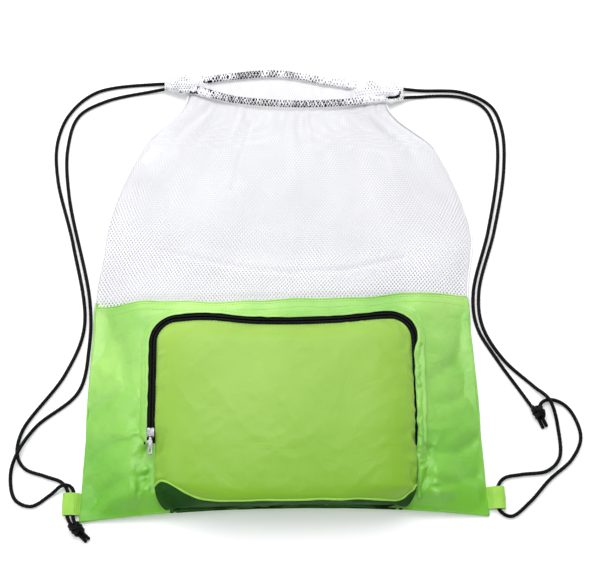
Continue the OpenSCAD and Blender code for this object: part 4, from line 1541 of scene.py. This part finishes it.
def make_slider():
    wings = rounded([(-3.15, 4.3), (-1.2, 4.45), (0, 3.6), (1.2, 4.45), (3.15, 4.3), (3.2, 1.0), (2.5, -4.3),
                     (-2.5, -4.3), (-3.2, 1.0)], 0.9)
    parts = [plate(wings, 1.25, 2.15), plate(wings, -2.15, -1.25)]
    for side in (-1, 1):
        flange = rounded([(-3.6, -1.9), (-3.6, -0.4), (0.6, -0.4), (0.6, -1.9)], 0.4)
        for flip in (-1, 1):
            rail = [(a, b * flip) for a, b in flange][::flip]
            parts.append(moved(plate(rail, -0.3, 0.3, axis="X", bevel=0.12), [side * 2.75, 0, 0]))
        lug = rounded([(-4.4, 1.9), (-4.5, 3.6), (-3.9, 5.0), (-2.1, 5.0), (-1.5, 3.7), (-1.2, 1.9)], 0.7)
        parts.append(moved(plate(lug, -0.35, 0.35, axis="X", bevel=0.12), [side * 1.75, 0, 0]))
    neck = rounded([(-0.38, 1.9), (-0.38, 4.0), (0.38, 4.0), (0.38, 1.9)], 0.3)
    parts.append(plate(neck, -1.4, 1.4, bevel=0.06))
    pin = np.array([[x, PIN_Y, PIN_Z] for x in (-2.35, -2.25, -1.2, 0, 1.2, 2.25, 2.35)], float)
    size = np.array([0.3, 0.55, 0.58, 0.58, 0.58, 0.55, 0.3])[:, None, None]
    section = size * circle(20)
    parts.append(swept(pin, section, (np.tile([0, 1.0, 0], (7, 1)), np.tile([0, 0, 1.0], (7, 1)))))
    points, faces = join(parts)
    piece("slider_body", points + SLIDER_AT, faces, NICKEL, "zip_metal", body="slider",
          stands_for=["zip_slider"])


def make_pull():
    tip = PIN_Y - PULL_LONG
    outline = rounded([(-0.95, PIN_Y - 1.3), (0.95, PIN_Y - 1.3), (1.0, PIN_Y - 2.8), (1.95, PIN_Y - 4.6),
                       (1.95, tip - 0.4), (1.1, tip - 1.7), (-1.1, tip - 1.7), (-1.95, tip - 0.4),
                       (-1.95, PIN_Y - 4.6), (-1.0, PIN_Y - 2.8)], 0.8)
    slot = rounded([(-0.75, tip + 3.4), (0.75, tip + 3.4), (0.75, tip), (-0.75, tip)], 0.7)[::-1]
    parts = [moved(plate(outline, -0.45, 0.45, hole=slot, bevel=0.16), [0, 0, PIN_Z])]
    rim = [(-1.25, PIN_Y - 5.6), (1.25, PIN_Y - 5.6), (1.25, tip + 4.4), (-1.25, tip + 4.4)]
    rim = np.array(rounded(rim, 0.5))
    rim_line = np.column_stack([rim, np.full(len(rim), PIN_Z + 0.42)])
    rim_line = np.vstack([rim_line, rim_line[:1]])
    parts.append(swept(rim_line, 0.16 * circle(8), level_frames(rim_line)))
    ring_turn = np.linspace(0, 2 * np.pi, 33)
    ring = np.stack([0 * ring_turn, PIN_Y + 0.98 * np.cos(ring_turn), PIN_Z + 0.98 * np.sin(ring_turn)], 1)
    out_dir = np.stack([0 * ring_turn, np.cos(ring_turn), np.sin(ring_turn)], 1)
    band = [[-1.0, -0.2], [-0.85, -0.3], [0.85, -0.3], [1.0, -0.2], [1.0, 0.15], [0.85, 0.27],
            [-0.85, 0.27], [-1.0, 0.15]]
    parts.append(swept(ring, band, (np.tile([1.0, 0, 0], (33, 1)), out_dir)))
    points, faces = join(parts)
    piece("pull_tab", points + SLIDER_AT, faces, NICKEL, "zip_metal", body="pull", stands_for=["zip_pull"])


def make_clip(name, x, y, node):
    """A metal strip folded over the end of the coil."""
    loop = np.array([
        [-1.5, 0.35], [-1.5, 1.2], [-1.2, 1.45], [1.2, 1.45], [1.5, 1.2], [1.5, -1.2], [1.2, -1.45],
        [-1.2, -1.45], [-1.5, -1.2], [-1.5, -0.35], [-1.2, -0.35], [-1.2, -1.1], [1.15, -1.1],
        [1.15, 1.1], [-1.2, 1.1], [-1.2, 0.35],
    ])
    line = np.array([[x, y + t, ZIP_Z] for t in (-1.15, -1.0, -0.5, 0, 0.5, 1.0, 1.15)])
    size = np.array([0.93, 1, 1, 1, 1, 1, 0.93])[:, None, None]
    piece(name, *swept(line, loop * size, level_frames(line)), NICKEL, "zip_metal", stands_for=[node])


make_slider()
make_pull()
make_clip("end_clip_left", POCKET_DX - ZIP_HALF - 2, -148.7, "zip_stop_left")
make_clip("end_clip_right", POCKET_DX + ZIP_HALF + 2, -153.7, "zip_stop_right")

# %% [markdown]
# ## Side loops and care label
# A loop is a strip of webbing folded double and sewn into the side seam, with the cord through the fold.
# It is one strip bent round, so it is swept along its width from the shape of its fold. The care label
# is a blank piece of satin sewn inside the net; it shows faintly through the holes.


# %% Loops
def make_loop(side, word):
    fold = smooth([
        [170, 0, 1.3], [174.5, 0, 1.45], [177.8, 0, 4.6], [182, 0, 5.75], [187.3, 0, 5.5], [189.6, 0, 3.1],
        [187.3, 0, 0.75], [182, 0, 0.45], [177.8, 0, 0.6], [174.5, 0, 0.75], [170, 0, 0.85],
    ], 0.5)
    y = np.linspace(-206.6, -187.4, 46)[:, None]
    x = fold[None, :, 0] + 0.25 * noise(y, 0 * y, 9, 140)
    ribs = 0.07 * np.cos(y * 2 * np.pi / 1.15)
    selvedge = 0.12 * (np.exp(-((y + 206.4) / 0.7) ** 2) + np.exp(-((y + 187.6) / 0.7) ** 2))
    outward = np.sign(fold[None, :, 2] - 3.1)
    z = fold[None, :, 2] + outward * (ribs + selvedge) + 0 * y
    grid = np.stack([side * x, np.broadcast_to(y, x.shape), np.maximum(z, 0.42)], -1)
    sheet_piece(f"side_loop_{word}", grid[:, ::side], 0.7, LOOP_WEBBING, "green_nylon",
                stands_for=[f"tab_{word}"])
    rows = [[[side * x_at, y_at, z_at] for y_at in np.linspace(-205.5, -188.5, 40)]
            for x_at, z_at in ((177.6, 5.0), (179.0, 5.75))]
    stitches(f"loop_stitches_{word}", [np.array(r) for r in rows], GREEN_THREAD, "green_nylon", pitch=2.4,
             length=1.7)


for side, word in SIDES:
    make_loop(side, word)


# %% Care label
LABEL_X, LABEL_Y, LABEL_Z, LABEL_TURN = -114, 124, 4.0, math.radians(-35)


def make_label():
    a, b = np.meshgrid(np.linspace(-13, 13, 60), np.linspace(-9, 9, 42))
    curl = 0.9 * ((a / 13) ** 2) + 0.4 * np.sin(b / 5) + 0.25 * noise(a, b, 7, 150)
    c, s = math.cos(LABEL_TURN), math.sin(LABEL_TURN)
    grid = np.stack([LABEL_X + a * c - b * s, LABEL_Y + a * s + b * c, LABEL_Z + curl], -1)
    return sheet_piece("blank_label", grid, 0.3, LABEL_SATIN, "label_satin", stands_for=["care_label"])


label = make_label()

# %% [markdown]
# ## The last checks
# Both boxes, the imported model's and the visual model's, are written down and compared, to show how far
# the cloth stands proud of the imported model.

# %% Sizes
visual_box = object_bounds()
for low_high, cad, seen in zip(("low", "high"), cad_box, visual_box):
    print(low_high, "corner moved by", [round((b - a) * 1000, 1) for a, b in zip(cad, seen)], "mm")
